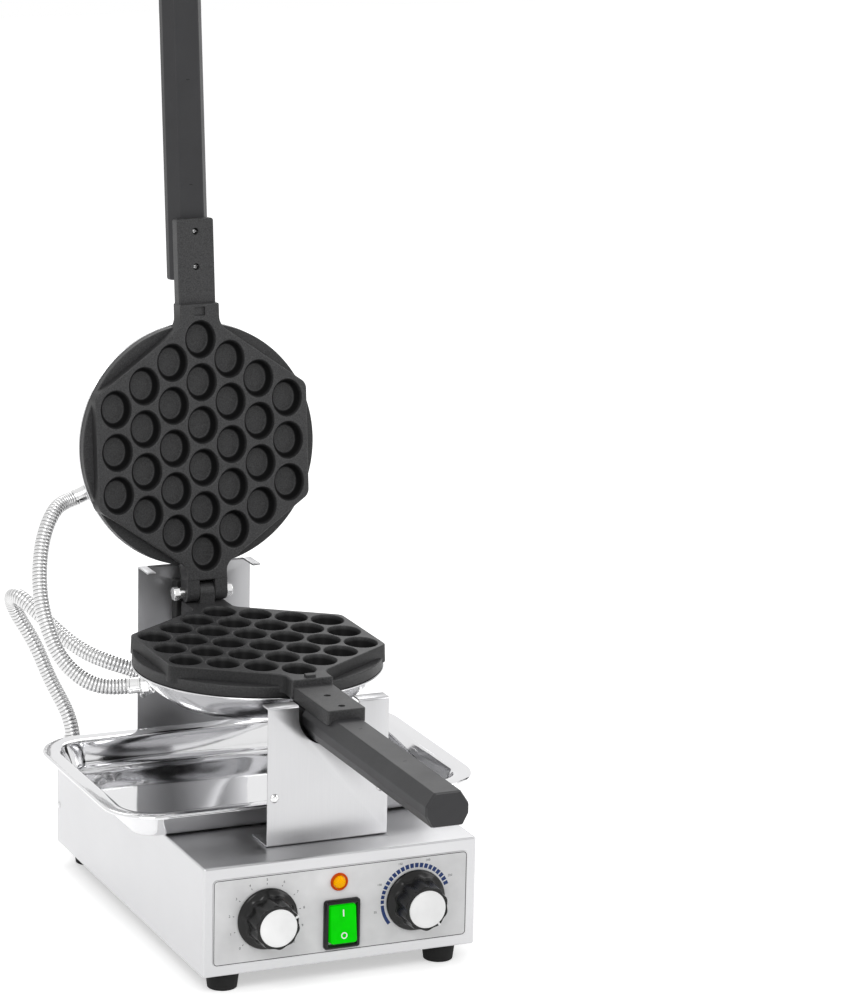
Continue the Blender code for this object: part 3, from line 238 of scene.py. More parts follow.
standUp = Matrix.Rotation(np.pi / 2, 4, "X")      # drawn X, Y becomes X, Z; drawn Z becomes -Y
alongX = Matrix(((0, 0, 1, 0), (1, 0, 0, 0), (0, 1, 0, 0), (0, 0, 0, 1)))   # drawn X, Y becomes Y, Z


def at(x, y, z):
    # a plain shift
    return Matrix.Translation((x, y, z))


def addObject(name, data):
    # a new object in the scene
    made = bpy.data.objects.new(name, data)
    bpy.context.scene.collection.objects.link(made)
    return made


def surfaceMesh(name, surface):
    # a surface as a mesh, from millimetres to metres
    points, faces = surface
    mesh = bpy.data.meshes.new(name)
    mesh.from_pydata((points * mm).tolist(), [], faces)
    return mesh


def meshPoints(mesh):
    # a mesh's points in millimetres
    points = np.empty(len(mesh.vertices) * 3)
    mesh.vertices.foreach_get("co", points)
    return points.reshape(-1, 3) / mm


def markPoints(mesh, name, values):
    # one value for each point, which a material can read
    mask = mesh.attributes.new(name, "FLOAT", "POINT")
    mask.data.foreach_set("value", values)


def weld(mesh, distance, degenerate=0.0):
    # joins points that meet, drops faces without area where asked, and turns all faces outwards
    work = bmesh.new()
    work.from_mesh(mesh)
    bmesh.ops.remove_doubles(work, verts=work.verts, dist=distance)
    if degenerate:
        bmesh.ops.dissolve_degenerate(work, edges=work.edges, dist=degenerate)
    bmesh.ops.recalc_face_normals(work, faces=work.faces)
    work.to_mesh(mesh)
    work.free()


def makePiece(name, surface, material, body, replaces=(), sharp=38, matrix=None, ride=True):
    # welds a surface, points it outwards, shades it and lets it ride on its body
    mesh = surfaceMesh(name, surface if isinstance(surface, tuple) else merged(surface))
    if matrix is not None:
        scaled = matrix.copy()
        scaled.translation = scaled.translation * mm
        mesh.transform(scaled)
    weld(mesh, 2e-6, 1e-7)
    mesh.shade_smooth()
    mesh.set_sharp_from_angle(angle=np.radians(sharp))
    piece = addObject(name, mesh)
    mesh.materials.append(material)
    flat = piece.modifiers.new("flatFaces", "WEIGHTED_NORMAL")
    flat.keep_sharp = True
    flat.weight = 80
    if ride:
        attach(piece, body)
    if replaces:
        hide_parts(*replaces)
    return piece


# Shared effects: each is a group that puts out masks, and the shaders stay in the materials
def newGroup(name, inputs, outputs):
    # an empty group with its sockets, given as (name, kind, value) and (name, kind)
    tree = bpy.data.node_groups.new(name, "ShaderNodeTree")
    for socket, kind, value in inputs:
        made = tree.interface.new_socket(socket, in_out="INPUT", socket_type=kind)
        if value is not None:
            made.default_value = value
    for socket, kind in outputs:
        tree.interface.new_socket(socket, in_out="OUTPUT", socket_type=kind)
    source = tree.nodes.new("NodeGroupInput")
    sink = tree.nodes.new("NodeGroupOutput")
    return tree, source, sink


def node(tree, kind, links=None, **values):
    # adds a node, sets its properties, and links or sets its sockets
    made = tree.nodes.new(kind)
    for key, value in values.items():
        setattr(made, key, value)
    for socket, value in (links or {}).items():
        if isinstance(value, bpy.types.NodeSocket):
            tree.links.new(value, made.inputs[socket])
        else:
            made.inputs[socket].default_value = value
    return made


def noise(tree, vector, scale, detail=3.0, rough=0.5):
    # a cloudy value from 0 to 1
    return node(tree, "ShaderNodeTexNoise", {"Vector": vector, "Scale": scale, "Detail": detail,
                                             "Roughness": rough}).outputs["Fac"]


def ramp(tree, value, low, high):
    # 0 at low and 1 at high, straight between them and held outside
    return node(tree, "ShaderNodeMapRange", {"Value": value, "From Min": low, "From Max": high},
                clamp=True).outputs["Result"]


def mathNode(tree, operation, *values):
    # one operation on two or three values
    return node(tree, "ShaderNodeMath", dict(enumerate(values)), operation=operation).outputs[0]


def blended(tree, first, second, share):
    # the first value times the share, and the second for the rest
    return mathNode(tree, "ADD", mathNode(tree, "MULTIPLY", first, share),
                    mathNode(tree, "MULTIPLY", second, 1 - share))


def makeGrainGroup():
    # fine lines along one direction, from noise squeezed across it
    tree, source, sink = newGroup("sheetGrain", [("Vector", "NodeSocketVector", None),
                                                 ("Squeeze", "NodeSocketVector", (1, 1, 1))],
                                  [("Grain", "NodeSocketFloat"), ("Cloud", "NodeSocketFloat")])
    squeezed = node(tree, "ShaderNodeVectorMath", {0: source.outputs["Vector"],
                                                   1: source.outputs["Squeeze"]}, operation="MULTIPLY")
    fine = noise(tree, squeezed.outputs[0], 1.0, 4.0, 0.6)
    wide = noise(tree, source.outputs["Vector"], 9.0, 3.0, 0.5)
    tree.links.new(fine, sink.inputs["Grain"])
    tree.links.new(wide, sink.inputs["Cloud"])
    return tree


def makeCastGroup():
    # sand-cast skin under a sprayed coat: small pits, a pebbled height and worn patches
    tree, source, sink = newGroup("castSkin", [("Vector", "NodeSocketVector", None)],
                                  [("Height", "NodeSocketFloat"), ("Tone", "NodeSocketFloat"),
                                   ("Worn", "NodeSocketFloat")])
    pebble = noise(tree, source.outputs["Vector"], 900.0, 3.0, 0.6)
    lumps = noise(tree, source.outputs["Vector"], 160.0, 2.0, 0.5)
    patches = noise(tree, source.outputs["Vector"], 22.0, 4.0, 0.6)
    tree.links.new(blended(tree, pebble, lumps, 0.6), sink.inputs["Height"])
    tree.links.new(pebble, sink.inputs["Tone"])
    tree.links.new(ramp(tree, patches, 0.45, 0.75), sink.inputs["Worn"])
    return tree


def makeSmudgeGroup():
    # soft hand marks and dust, in large and small patches
    tree, source, sink = newGroup("smudges", [("Vector", "NodeSocketVector", None),
                                              ("Scale", "NodeSocketFloat", 12.0)],
                                  [("Smudge", "NodeSocketFloat"), ("Dust", "NodeSocketFloat")])
    large = noise(tree, source.outputs["Vector"], source.outputs["Scale"], 5.0, 0.65)
    small = noise(tree, source.outputs["Vector"], 260.0, 2.0, 0.5)
    tree.links.new(ramp(tree, large, 0.42, 0.72), sink.inputs["Smudge"])
    tree.links.new(ramp(tree, small, 0.58, 0.8), sink.inputs["Dust"])
    return tree


grainGroup = makeGrainGroup()
castGroup = makeCastGroup()
smudgeGroup = makeSmudgeGroup()


def startMaterial(name, **values):
    # a Principled material with its plain sockets set, and the piece's own coordinates
    made = bpy.data.materials.new(name)
    made.use_nodes = True
    tree = made.node_tree
    shader = tree.nodes["Principled BSDF"]
    for socket, value in values.items():
        shader.inputs[socket.replace("_", " ")].default_value = value
    place = node(tree, "ShaderNodeTexCoord").outputs["Object"]
    return made, tree, shader, place


def mixColours(tree, mask, first, second):
    # the first colour where the mask is 0 and the second where it is 1
    return node(tree, "ShaderNodeMix", {0: mask, 6: first, 7: second}, data_type="RGBA").outputs[2]


def mixTone(tree, mask, dark, light):
    # the same for two plain tones
    return mixColours(tree, mask, (*dark, 1), (*light, 1))


def addBump(tree, shader, height, strength, distance):
    # lets a height value tilt the shading, up to the distance in metres
    bump = node(tree, "ShaderNodeBump", {"Height": height, "Strength": strength, "Distance": distance})
    tree.links.new(bump.outputs["Normal"], shader.inputs["Normal"])


def metal(name, look):
    # sheet or plated metal: a base tone, roughness that follows the grain, and faint smudges
    made, tree, shader, place = startMaterial(name, Metallic=1.0)
    grain = node(tree, "ShaderNodeGroup", {"Vector": place, "Squeeze": look["squeeze"]}, node_tree=grainGroup)
    marks = node(tree, "ShaderNodeGroup", {"Vector": place}, node_tree=smudgeGroup)
    tone = np.array(look["tone"])
    mask = blended(tree, grain.outputs["Grain"], grain.outputs["Cloud"], look["lines"])
    tree.links.new(mixTone(tree, mask, tone * look["dark"], tone), shader.inputs["Base Color"])
    rough = mathNode(tree, "MULTIPLY_ADD", grain.outputs["Grain"], look["spread"], look["rough"])
    rough = mathNode(tree, "ADD", rough, mathNode(tree, "MULTIPLY", marks.outputs["Smudge"], look["smudge"]))
    tree.links.new(rough, shader.inputs["Roughness"])
    addBump(tree, shader, grain.outputs["Grain"], look["bump"], 0.00004)
    return made


def plastic(name, look):
    # moulded plastic: slight tone drift, fine texture, hand marks in the roughness
    made, tree, shader, place = startMaterial(name, IOR=1.5, Specular_IOR_Level=look.get("gloss", 0.3))
    marks = node(tree, "ShaderNodeGroup", {"Vector": place}, node_tree=smudgeGroup)
    tone = np.array(look["tone"])
    drift = noise(tree, place, 40.0, 3.0)
    tree.links.new(mixTone(tree, drift, tone * 0.8, tone * 1.15), shader.inputs["Base Color"])
    rough = mathNode(tree, "MULTIPLY_ADD", marks.outputs["Smudge"], 0.08, look["rough"])
    tree.links.new(rough, shader.inputs["Roughness"])
    addBump(tree, shader, noise(tree, place, look["texture"], 2.0), look["bump"], 0.0001)
    return made


def castCoat(name, look):
    # black non-stick coat on a casting: pebbled and speckled, with painted shade on the walls of its cups
    made, tree, shader, place = startMaterial(name, IOR=1.5, Specular_IOR_Level=look["gloss"])
    skin = node(tree, "ShaderNodeGroup", {"Vector": place}, node_tree=castGroup)
    tone = np.array(look["tone"])
    speckled = mixTone(tree, ramp(tree, skin.outputs["Tone"], 0.3, 0.7), tone * 0.45, tone * 1.6)
    # the deep attribute is painted shade: where it is high the colour goes near black and the gloss drops
    deep = node(tree, "ShaderNodeAttribute", attribute_name="deep").outputs["Fac"]
    tree.links.new(mixColours(tree, deep, speckled, (*(tone * 0.2), 1)), shader.inputs["Base Color"])
    gloss = mathNode(tree, "MULTIPLY_ADD", deep, -0.85 * look["gloss"], look["gloss"])
    tree.links.new(gloss, shader.inputs["Specular IOR Level"])
    rough = mathNode(tree, "MULTIPLY_ADD", skin.outputs["Worn"], -0.10, look["rough"])
    tree.links.new(rough, shader.inputs["Roughness"])
    addBump(tree, shader, skin.outputs["Height"], look["bump"], 0.0002)
    return made


def sheetLook(tone, rough, squeeze):
    # what the brushed sheets share; noise squeezed along an axis draws lines square to it
    return {"tone": tone, "rough": rough, "squeeze": squeeze, "dark": 0.86, "lines": 0.6, "spread": 0.12,
            "smudge": 0.05, "bump": 0.12}


levelGrain, uprightGrain = (30, 30, 1400), (1400, 1400, 30)
brushedSheet = metal("brushedSheet", sheetLook((0.66, 0.66, 0.67), 0.26, levelGrain))
bracketSheet = metal("bracketSheet", sheetLook((0.62, 0.62, 0.63), 0.24, uprightGrain))
# the rear bracket's sheet is the bracket sheet made darker, as painted shade
shadedRearSheet = metal("shadedRearSheet", sheetLook((0.48, 0.48, 0.49), 0.30, uprightGrain))
domeSteel = metal("domeSteel", {"tone": (0.66, 0.66, 0.67), "dark": 0.93, "lines": 0.3, "rough": 0.12,
                                "spread": 0.05, "smudge": 0.06, "squeeze": (300, 300, 300), "bump": 0.04})
nickel = metal("nickel", {"tone": (0.80, 0.80, 0.80), "dark": 0.9, "lines": 0.3, "rough": 0.16,
                          "spread": 0.06, "smudge": 0.04, "squeeze": (500, 500, 500), "bump": 0.05})
darkSteel = metal("darkSteel", {"tone": (0.30, 0.29, 0.28), "dark": 0.8, "lines": 0.4, "rough": 0.35,
                                "spread": 0.1, "smudge": 0.05, "squeeze": (400, 400, 400), "bump": 0.08})
castBlack = castCoat("castBlack", {"tone": (0.035, 0.035, 0.036), "rough": 0.50, "bump": 0.6, "gloss": 0.38})
gripPlastic = plastic("gripPlastic", {"tone": (0.035, 0.035, 0.037), "rough": 0.42, "texture": 1400.0,
                                      "bump": 0.25})
knobPlastic = plastic("knobPlastic", {"tone": (0.010, 0.010, 0.010), "rough": 0.18, "texture": 600.0,
                                      "bump": 0.03, "gloss": 0.28})
blockPlastic = plastic("blockPlastic", {"tone": (0.014, 0.014, 0.014), "rough": 0.5, "texture": 900.0,
                                        "bump": 0.15})
rubberBlack = plastic("rubberBlack", {"tone": (0.012, 0.012, 0.012), "rough": 0.75, "texture": 700.0,
                                      "bump": 0.3})
unitPlastic = plastic("unitPlastic", {"tone": (0.6, 0.58, 0.52), "rough": 0.5, "texture": 500.0, "bump": 0.1})
labelFilm = plastic("labelFilm", {"tone": (0.74, 0.74, 0.745), "rough": 0.38, "texture": 800.0, "bump": 0.05})
printInk = plastic("printInk", {"tone": (0.05, 0.05, 0.055), "rough": 0.5, "texture": 900.0, "bump": 0.02})
printBlue = plastic("printBlue", {"tone": (0.020, 0.045, 0.16), "rough": 0.5, "texture": 900.0, "bump": 0.02})
printWhite = plastic("printWhite", {"tone": (0.85, 0.85, 0.85), "rough": 0.4, "texture": 900.0, "bump": 0.02})
capSilver = plastic("capSilver", {"tone": (0.93, 0.93, 0.93), "rough": 0.32, "texture": 900.0, "bump": 0.03})


def litPlastic(name, tone, glow, strength, rough, grid=0.0):
    # translucent coloured plastic with a lamp behind it
    made, tree, shader, place = startMaterial(name, Roughness=rough, IOR=1.5, Specular_IOR_Level=0.06)
    tone = np.array(tone)
    checks = node(tree, "ShaderNodeTexChecker", {"Vector": place, "Scale": 1100.0}).outputs["Fac"]
    drift = blended(tree, checks, noise(tree, place, 120.0, 2.0), grid)
    tree.links.new(mixTone(tree, drift, tone * 0.85, tone * 1.1), shader.inputs["Base Color"])
    tree.links.new(mixTone(tree, drift, np.array(glow) * (0.75 - 0.15 * grid), np.array(glow)),
                   shader.inputs["Emission Color"])
    shader.inputs["Emission Strength"].default_value = strength
    return made


rockerGreen = litPlastic("rockerGreen", (0.0, 0.34, 0.0), (0.0, 0.95, 0.0), 0.42, 0.22)
lensAmber = litPlastic("lensAmber", (0.70, 0.30, 0.0), (0.85, 0.42, 0.0), 0.42, 0.2, 0.7)
lampOrange = litPlastic("lampOrange", (0.46, 0.055, 0.002), (0.7, 0.09, 0.0), 0.16, 0.3)


def grooveShade(name, look):
    # plated strip wound into ribs: painted shade darkens the grooves between them
    made = metal(name, look)
    tree = made.node_tree
    shader = tree.nodes["Principled BSDF"]
    groove = node(tree, "ShaderNodeAttribute", attribute_name="groove").outputs["Fac"]
    old = shader.inputs["Base Color"].links[0].from_socket
    # painted shade: the deeper a point lies in a groove, the nearer its colour goes to black
    share = ramp(tree, groove, 0.45, 1.0)
    tree.links.new(mixColours(tree, share, old, (0.03, 0.03, 0.03, 1)), shader.inputs["Base Color"])
    return made


hoseSteel = grooveShade("hoseSteel", {
    "tone": (0.78, 0.78, 0.78), "dark": 0.85, "lines": 0.3, "rough": 0.22, "spread": 0.08, "smudge": 0.05,
    "squeeze": (500, 500, 500), "bump": 0.05})


def wavyMirror(name, look):
    # a pressed mirror sheet: slow dents bend what it reflects into streaks
    made = metal(name, look)
    tree = made.node_tree
    shader = tree.nodes["Principled BSDF"]
    place = node(tree, "ShaderNodeTexCoord").outputs["Object"]
    stretched = node(tree, "ShaderNodeVectorMath", {0: place, 1: (1.0, 2.2, 1.0)}, operation="MULTIPLY")
    dents = noise(tree, stretched.outputs[0], 6.0, 0.6, 0.3)
    wave = node(tree, "ShaderNodeBump", {"Height": dents, "Strength": 1.0, "Distance": 0.0013,
                                         "Normal": shader.inputs["Normal"].links[0].from_socket})
    tree.links.new(wave.outputs["Normal"], shader.inputs["Normal"])
    return made


trayMirror = wavyMirror("trayMirror", {
    "tone": (0.80, 0.80, 0.81), "dark": 0.95, "lines": 0.2, "rough": 0.04, "spread": 0.03, "smudge": 0.02,
    "squeeze": (200, 200, 200), "bump": 0.008})
print("materials are ready")


# Cast plates
def cellPlaces():
    # columns of cups about the middle, each column centred on it
    count = len(cell["columns"])
    return [((c - (count - 1) / 2) * cell["pitchX"], (r - (n - 1) / 2) * cell["pitchY"])
            for c, n in enumerate(cell["columns"]) for r in range(n)]


def cellRings():
    # insets from the mouth and depths: a rounded lip, a tapered wall and a filleted flat floor
    lip, fillet, depth = cell["lip"], cell["fillet"], cell["depth"]
    taper = cell["mouth"][0] - cell["floor"][0]
    mouth = arc((-lip, -lip), lip, 90, 0, 5)
    wall = np.array([[taper * 0.35, -depth * 0.35], [taper * 0.7, -depth * 0.7]])
    turn = arc((taper + fillet * 0.7, -depth + fillet), fillet, 190, 270, 5)
    floor = np.array([[taper + 4.0, -depth], [cell["mouth"][0] - 1.5, -depth], [cell["mouth"][0], -depth]])
    return np.vstack([mouth, wall, turn, floor])


def cellOval(x, y, inset):
    # an ellipse as large as the mouth less the inset, and a point where nothing is left
    angle = np.linspace(0, 2 * np.pi, cell["sides"], endpoint=False)
    a = cell["mouth"][0] - inset
    b = np.where(inset < cell["mouth"][0] - 1e-6, cell["mouth"][1] - inset, 0)
    return np.stack([x + a * np.cos(angle), y + b * np.sin(angle)], -1)


def landOutline(rear, rearHalf):
    # the hexagon with its neck in front and its hinge root behind, joined by hollow rounds
    s, c, a = iron["sideX"], iron["cornerY"], iron["apexY"]
    half, big, soft = iron["neckHalf"], iron["neckRadius"], iron["cornerRadius"]
    root, end = iron["rootRadius"], iron["endRadius"]
    meet = a - half * (a - c) / s
    meetRear = a - rearHalf * (a - c) / s
    return outline([(half, -iron["neckEnd"], end), (half, -meet, big), (s, -c, soft), (s, c, soft),
                    (rearHalf, meetRear, root), (rearHalf, rear, end), (-rearHalf, rear, end),
                    (-rearHalf, meetRear, root), (-s, c, soft), (-s, -c, soft), (-half, -meet, big),
                    (-half, -iron["neckEnd"], end)], steps=10)


def castSurfaces(upper):
    # the land with a cup in each of its holes, and under them the round dish, neck, heel and arm
    top, low, edge = -iron["matingGap"], -iron["depth"], iron["edge"]
    bottom = -iron["landDepth"]
    tail = iron["hingeDistance"] + (-iron["hingeLand"] if upper else iron["knuckleRadius"])
    land = landOutline(tail, iron["lugOuter"])
    side = np.vstack([arc((-edge, top - edge), edge, 90, 0, 5),
                      [(iron["draft"], bottom), (-3, bottom - 0.5)]])
    inner = land - outlineNormals(land) * edge
    rings = cellRings()
    holes = [cellOval(x, y, rings[0, 0]) for x, y in cellPlaces()]
    parts = [sweepOutline(land, side), capSurface(inner, top, holes)]
    for x, y in cellPlaces():
        stack = [np.column_stack([cellOval(x, y, inset), np.full(cell["sides"], top + z)])
                 for inset, z in rings]
        parts.append(gridSurface(np.array(stack), closeV=True))
    reach, ringTop = iron["ringRadius"], -iron["ringTop"]
    ring = np.vstack([[(iron["ringInner"], ringTop)], arc((reach - 1, ringTop - 1), 1, 90, 0, 4),
                      arc((reach - 1, low + 1), 1, 0, -90, 4), [(0, low)]])
    parts.append(lathe(ring, 160))
    wide, foot, start = iron["neckHalf"], iron["neckFoot"], iron["neckStart"]
    neck = outline([(-foot, low, 1.5), (foot, low, 1.5), (wide, bottom, 2), (wide - 0.4, bottom + 1, 0),
                    (0.4 - wide, bottom + 1, 0), (-wide, bottom, 2)])
    parts.append(moved(prism(neck, start, iron["neckEnd"], 1.0), standUp))
    heel = outline(box(iron["lugOuter"], (tail - start) / 2, 1.2, 0, (tail + start) / 2))
    parts.append(prism(heel, low, -iron["heelTop"], 1.0))
    start, end = iron["armStart"], iron["armEnd"]
    arm = outline(box(iron["armHalf"], (end - start) / 2, 2.5, 0, -(end + start) / 2))
    holes = [circle(0, -distance, iron["holeRadius"]) for distance in iron["armHoles"]]
    parts.append(prism(arm, -iron["armTop"] - iron["armThick"], -iron["armTop"], 1.0, holes=holes))
    return parts


def knuckleOutline():
    # the lower hinge barrel's side view: a half circle about the hinge axis on a straight stem
    y, z, r, low = iron["hingeDistance"], iron["hingeRise"], iron["knuckleRadius"], -iron["knuckleFoot"]
    return np.vstack([arc((y, z), r, 0, 180, 20), [(y - r, low), (y + r, low)]])


def cutterObject(surface):
    # a closed surface as a welded object that a boolean takes away
    mesh = surfaceMesh("cutter", surface)
    weld(mesh, 1e-6)
    return addObject("cutter", mesh)


def takeAway(target, tool):
    # cuts one object out of another for as long as the modifier stays
    cut = target.modifiers.new("cut", "BOOLEAN")
    cut.operation = "DIFFERENCE"
    cut.object = tool


def shownMesh(item):
    # the mesh that an object shows with its modifiers, or with its text filled in
    bpy.context.view_layer.update()
    return bpy.data.meshes.new_from_object(item.evaluated_get(bpy.context.evaluated_depsgraph_get()))


def cutOut(piece, surface):
    # the piece's mesh less a closed surface, by a boolean on a holder that is removed again
    tool = cutterObject(surface)
    holder = addObject("holder", piece.data)
    takeAway(holder, tool)
    piece.data = shownMesh(holder)
    for item in (tool, holder):
        bpy.data.objects.remove(item)


def markDeep(piece, matrix):
    # painted shade for each point by its depth: 1 on the cups' walls, 0 on the land and on the arm
    place = np.array(matrix.inverted())
    local = meshPoints(piece.data) @ place[:3, :3].T + place[:3, 3]
    share = np.interp(-local[:, 2], [0.6, 2.4, cell["depth"] - 1.2, cell["depth"] + 0.1, 12.0, 15.0],
                      [0, 1, 1, 0.1, 0.1, 0.4])
    share[abs(local[:, 1]) > iron["lugDistance"] - 5] = 0
    markPoints(piece.data, "deep", share)


def makePlates():
    # the lower casting has a barrel for the hinge, a lug on its neck and the front trunnion
    place, half = ironMatrix(False), iron["knuckleHalf"]
    length, width, height = iron["lugSize"]
    front = -iron["lugDistance"]
    lower = castSurfaces(False)
    lower.append(moved(prism(knuckleOutline(), -half, half, 0.7), alongX))
    lower.append(prism(outline(box(length / 2, width / 2, 1.2, 0, front)), -4, height, 0.6))
    piece = makePiece("lowerCastPlate", lower, castBlack, "lower_iron", ["lower_plate"],
                      matrix=place)
    markDeep(piece, place)
    # the trunnion is the lower part of a disc about the turning axis, cut off under the neck
    reach = iron["trunnionRadius"]
    first = np.degrees(np.arcsin((iron["depth"] + seatGap) / reach))
    disc = arc((0, 0), reach, 180 + first, 360 - first, 40)
    trunnion = moved(prism(disc, iron["trunnionStart"], iron["trunnionEnd"], 0.5), standUp)
    makePiece("trunnionDisc", trunnion, castBlack, "lower_iron", ["front_trunnion"],
              matrix=place)

    # the upper half has two hinge lugs, and a slot for the lower half's lug
    place, hinge = ironMatrix(True), iron["hingeDistance"]
    upper = castSurfaces(True)
    root = hinge - iron["hingeLand"] - iron["lugRoot"]
    inset = iron["lugInset"]
    view = np.vstack([arc((hinge, -iron["hingeRise"]), iron["knuckleRadius"], -100, 90, 24),
                      [(root, -iron["matingGap"] - inset), (root, -iron["depth"] + inset)]])
    for side in (-1, 1):
        near, far = sorted((side * iron["lugInner"], side * iron["lugOuter"]))
        upper.append(moved(prism(view, near, far, 0.7), alongX))
    piece = makePiece("upperCastPlate", upper, castBlack, "lid", ["upper_plate"],
                      matrix=place)
    room = iron["lugClearance"]
    slot = outline(box(length / 2 + room, width / 2 + room, 1.2, 0, front))
    cutOut(piece, moved(prism(slot, -height - room, 1, 0.01, 1), place))
    markDeep(piece, place)


makePlates()
print("cast plates are ready")

# Domes
dome = {"radius": 108.0, "depth": 36.0, "power": 4.5, "lipRadius": 111.7, "lipThick": 1.6, "seat": 21.3}


def domeDrop(radius):
    # depth below the lip: full in the middle and falling with a power of the radius
    return dome["depth"] * (1 - (radius / dome["radius"]) ** dome["power"])


def domeSurface():
    # the drop curve turned about the middle, with a round root and a rolled lip
    reach = dome["radius"] * np.sin(np.linspace(np.pi / 2, 0, 48))
    low = -dome["seat"] - dome["lipThick"]
    shell = np.stack([reach, low - domeDrop(reach)], -1)
    t = dome["lipThick"] / 2
    rim = arc((dome["lipRadius"] - t, -dome["seat"] - t), t, 90, -90, 8)
    root = arc((dome["radius"] + 1.4, low - 1.4), 1.4, 90, 175, 5)
    return lathe(np.vstack([[(100, -dome["seat"])], rim, root, shell[2:]]), 180)


def panHead(radius, height):
    # a low domed screw head: a quarter ellipse turned about its middle
    top = np.stack([radius * np.cos(np.linspace(0.25, np.pi / 2, 8)),
                    height * np.sin(np.linspace(0.25, np.pi / 2, 8))], -1)
    return lathe(np.vstack([[(radius * 0.96, 0)], top]), 40)


def crossMark(radius, height):
    # the cross on a screw head, as a thin plate that sits in its dome
    arm, width = radius * 0.55, radius * 0.16
    plus = np.array([(arm, -width), (arm, width), (width, width), (width, arm), (-width, arm),
                     (-width, width), (-arm, width), (-arm, -width), (-width, -width), (-width, -arm),
                     (width, -arm), (width, -width)])
    return prism(plus, height * 0.8, height + 0.05, 0.03)


def screwShank(radius, length, bevel, rise):
    # a plain shank down Z from the head, with a small cone at its tip
    return lathe([(0, -length), (radius - bevel, -length), (radius, rise - length), (radius, 0.2),
                  (0, 0.2)], 24)


def makeDomes():
    # the same dome under each iron
    for name, body, upper in (("lower", "lower_iron", False), ("upper", "lid", True)):
        makePiece(name + "SteelDome", domeSurface(), domeSteel, body, [name + "_dome"],
                  matrix=ironMatrix(upper))


makeDomes()
print("domes are ready")

# Grips
grip = {"start": 150.0, "end": 418.0, "nose": 3.5, "noseShare": 0.93, "slots": (330.0, 236.0), "corners": (
    (-11.5, -14.0, 1.6), (-18.75, -25.0, 3.0), (-18.75, -33.0, 3.0), (-13.5, -43.0, 2.0),
    (13.5, -43.0, 2.0), (18.75, -33.0, 3.0), (18.75, -25.0, 3.0), (11.5, -14.0, 1.6))}
gripScrew = {"head": (2.8, 1.8), "shank": (1.8, 21.8, 0.4, 0.6), "drop": 4.4}


def gripSurface():
    # an eight-sided section with soft corners, carried along and drawn in at both ends
    section = outline(grip["corners"], steps=6)
    middle = np.array([0, -28.5])
    t = np.linspace(0, 1, 7)
    start, end, nose, share = grip["start"], grip["end"], grip["nose"], grip["noseShare"]
    along = [(start, 0.0), (start, 0.90)]
    along += [(start + 2.5 * (1 - np.cos(a)), 0.92 + 0.08 * np.sin(a)) for a in t * np.pi / 2]
    along += [(end - nose + (nose - 1.0) * k, 1 - (1 - share) * 0.75 * k) for k in t]
    along += [(end - 1.0 + np.sin(a), share + 0.0175 - 0.05 * (1 - np.cos(a))) for a in t[1:] * np.pi / 2]
    along += [(end, 0.0)]
    rings = []
    for distance, share in along:
        ring = middle + (section - middle) * share
        rings.append(np.stack([ring[:, 0], np.full(len(ring), -distance), ring[:, 1]], -1))
    return gridSurface(np.array(rings), closeV=True)


def makeGrips():
    # each iron's grip, with flat dark marks on its top as painted shade of two slots, and two screws from below
    for name, body, upper in (("lower", "lower_iron", False), ("upper", "lid", True)):
        place = ironMatrix(upper)
        makePiece(name + "MouldedGrip", gripSurface(), gripPlastic, body, [name + "_grip"],
                  matrix=place)
        # painted shade: thin dark plates lie on the grip's top where its two slots are, and no slot is cut
        marks = [prism(outline(box(1.6, 0.5, 0.4, 0, -y)), -14.2, -13.93, 0.05) for y in grip["slots"]]
        makePiece(name + "GripSlotShade", marks, blockPlastic, body, matrix=place)
        screw = (panHead(*gripScrew["head"]), crossMark(*gripScrew["head"]), screwShank(*gripScrew["shank"]))
        for number, distance in enumerate(iron["armHoles"], 1):
            seat = at(0, -distance, -iron["armTop"] - gripScrew["drop"])
            makePiece(f"{name}GripScrew{number}", [moved(part, seat) for part in screw], nickel, body,
                      [f"{name}_grip_screw_{number}"], matrix=place)


makeGrips()
print("grips are ready")

# Hinge pin, its nut, and the journal collar: places along the hinge axis, and the collar's section
pivot = {"across": 11.0, "head": (6.0, -30.8), "collarPlace": -24.8, "shankPlace": -19.9, "nut": (5.8, 19.9),
         "collar": ((0, 0), (4.6, 0), (4.9, 0.4), (4.9, 5.0), (0, 5.0)),
         "shank": ((0, 0), (3.0, 0), (3.0, 44), (2.6, 45), (0, 45)),
         "ring": ((7.2, 0), (12.2, 0), (13, 0.8), (13, 5.2), (12.2, 6), (7.2, 6), (7.2, 0))}


def makePivots():
    # turned bars and hexagons in a row along the hinge axis, and a ring on the flip axis
    axis = Matrix.Translation(lidAxis) @ Matrix.Rotation(np.pi / 2, 4, "Y")
    length, place = pivot["head"]
    pin = [moved(hexBar(length, pivot["across"]), at(0, 0, place)),
           moved(lathe(pivot["collar"], 48), at(0, 0, pivot["collarPlace"])),
           moved(lathe(pivot["shank"], 32), at(0, 0, pivot["shankPlace"]))]
    makePiece("hingePinBright", pin, nickel, "lower_iron", ["hinge_pin"], matrix=axis)
    length, place = pivot["nut"]
    nut = moved(hexBar(length, pivot["across"]), at(0, 0, place))
    makePiece("hingeNutBright", nut, nickel, "lower_iron", ["hinge_nut"], matrix=axis)
    rear = nodeBox("journal_collar")[1][1]
    ring = moved(lathe(pivot["ring"], 64), at(midX, rear, axisZ) @ standUp)
    makePiece("journalCollarTurned", ring, darkSteel, "lower_iron", ["journal_collar"])


makePivots()

# Glands, ferrules and the two ribbed conduits
gland = {"tilt": 10.0, "root": 86.0, "across": 16.0, "hexStart": 10.5, "hexLength": 8.0, "bodyRadius": 6.6,
         "washerRadius": 8.6, "ferruleRadius": 7.8, "ferruleLength": 12.0, "lowerAngles": (147.0, 124.0),
         "upperAngle": 157.0, "baseX": -115.0, "baseY": 368.0}
hose = {"radius": 7.2, "rib": 0.9, "pitch": 3.4, "sides": 28, "steps": 6, "straight": 1.6, "softening": 1000}
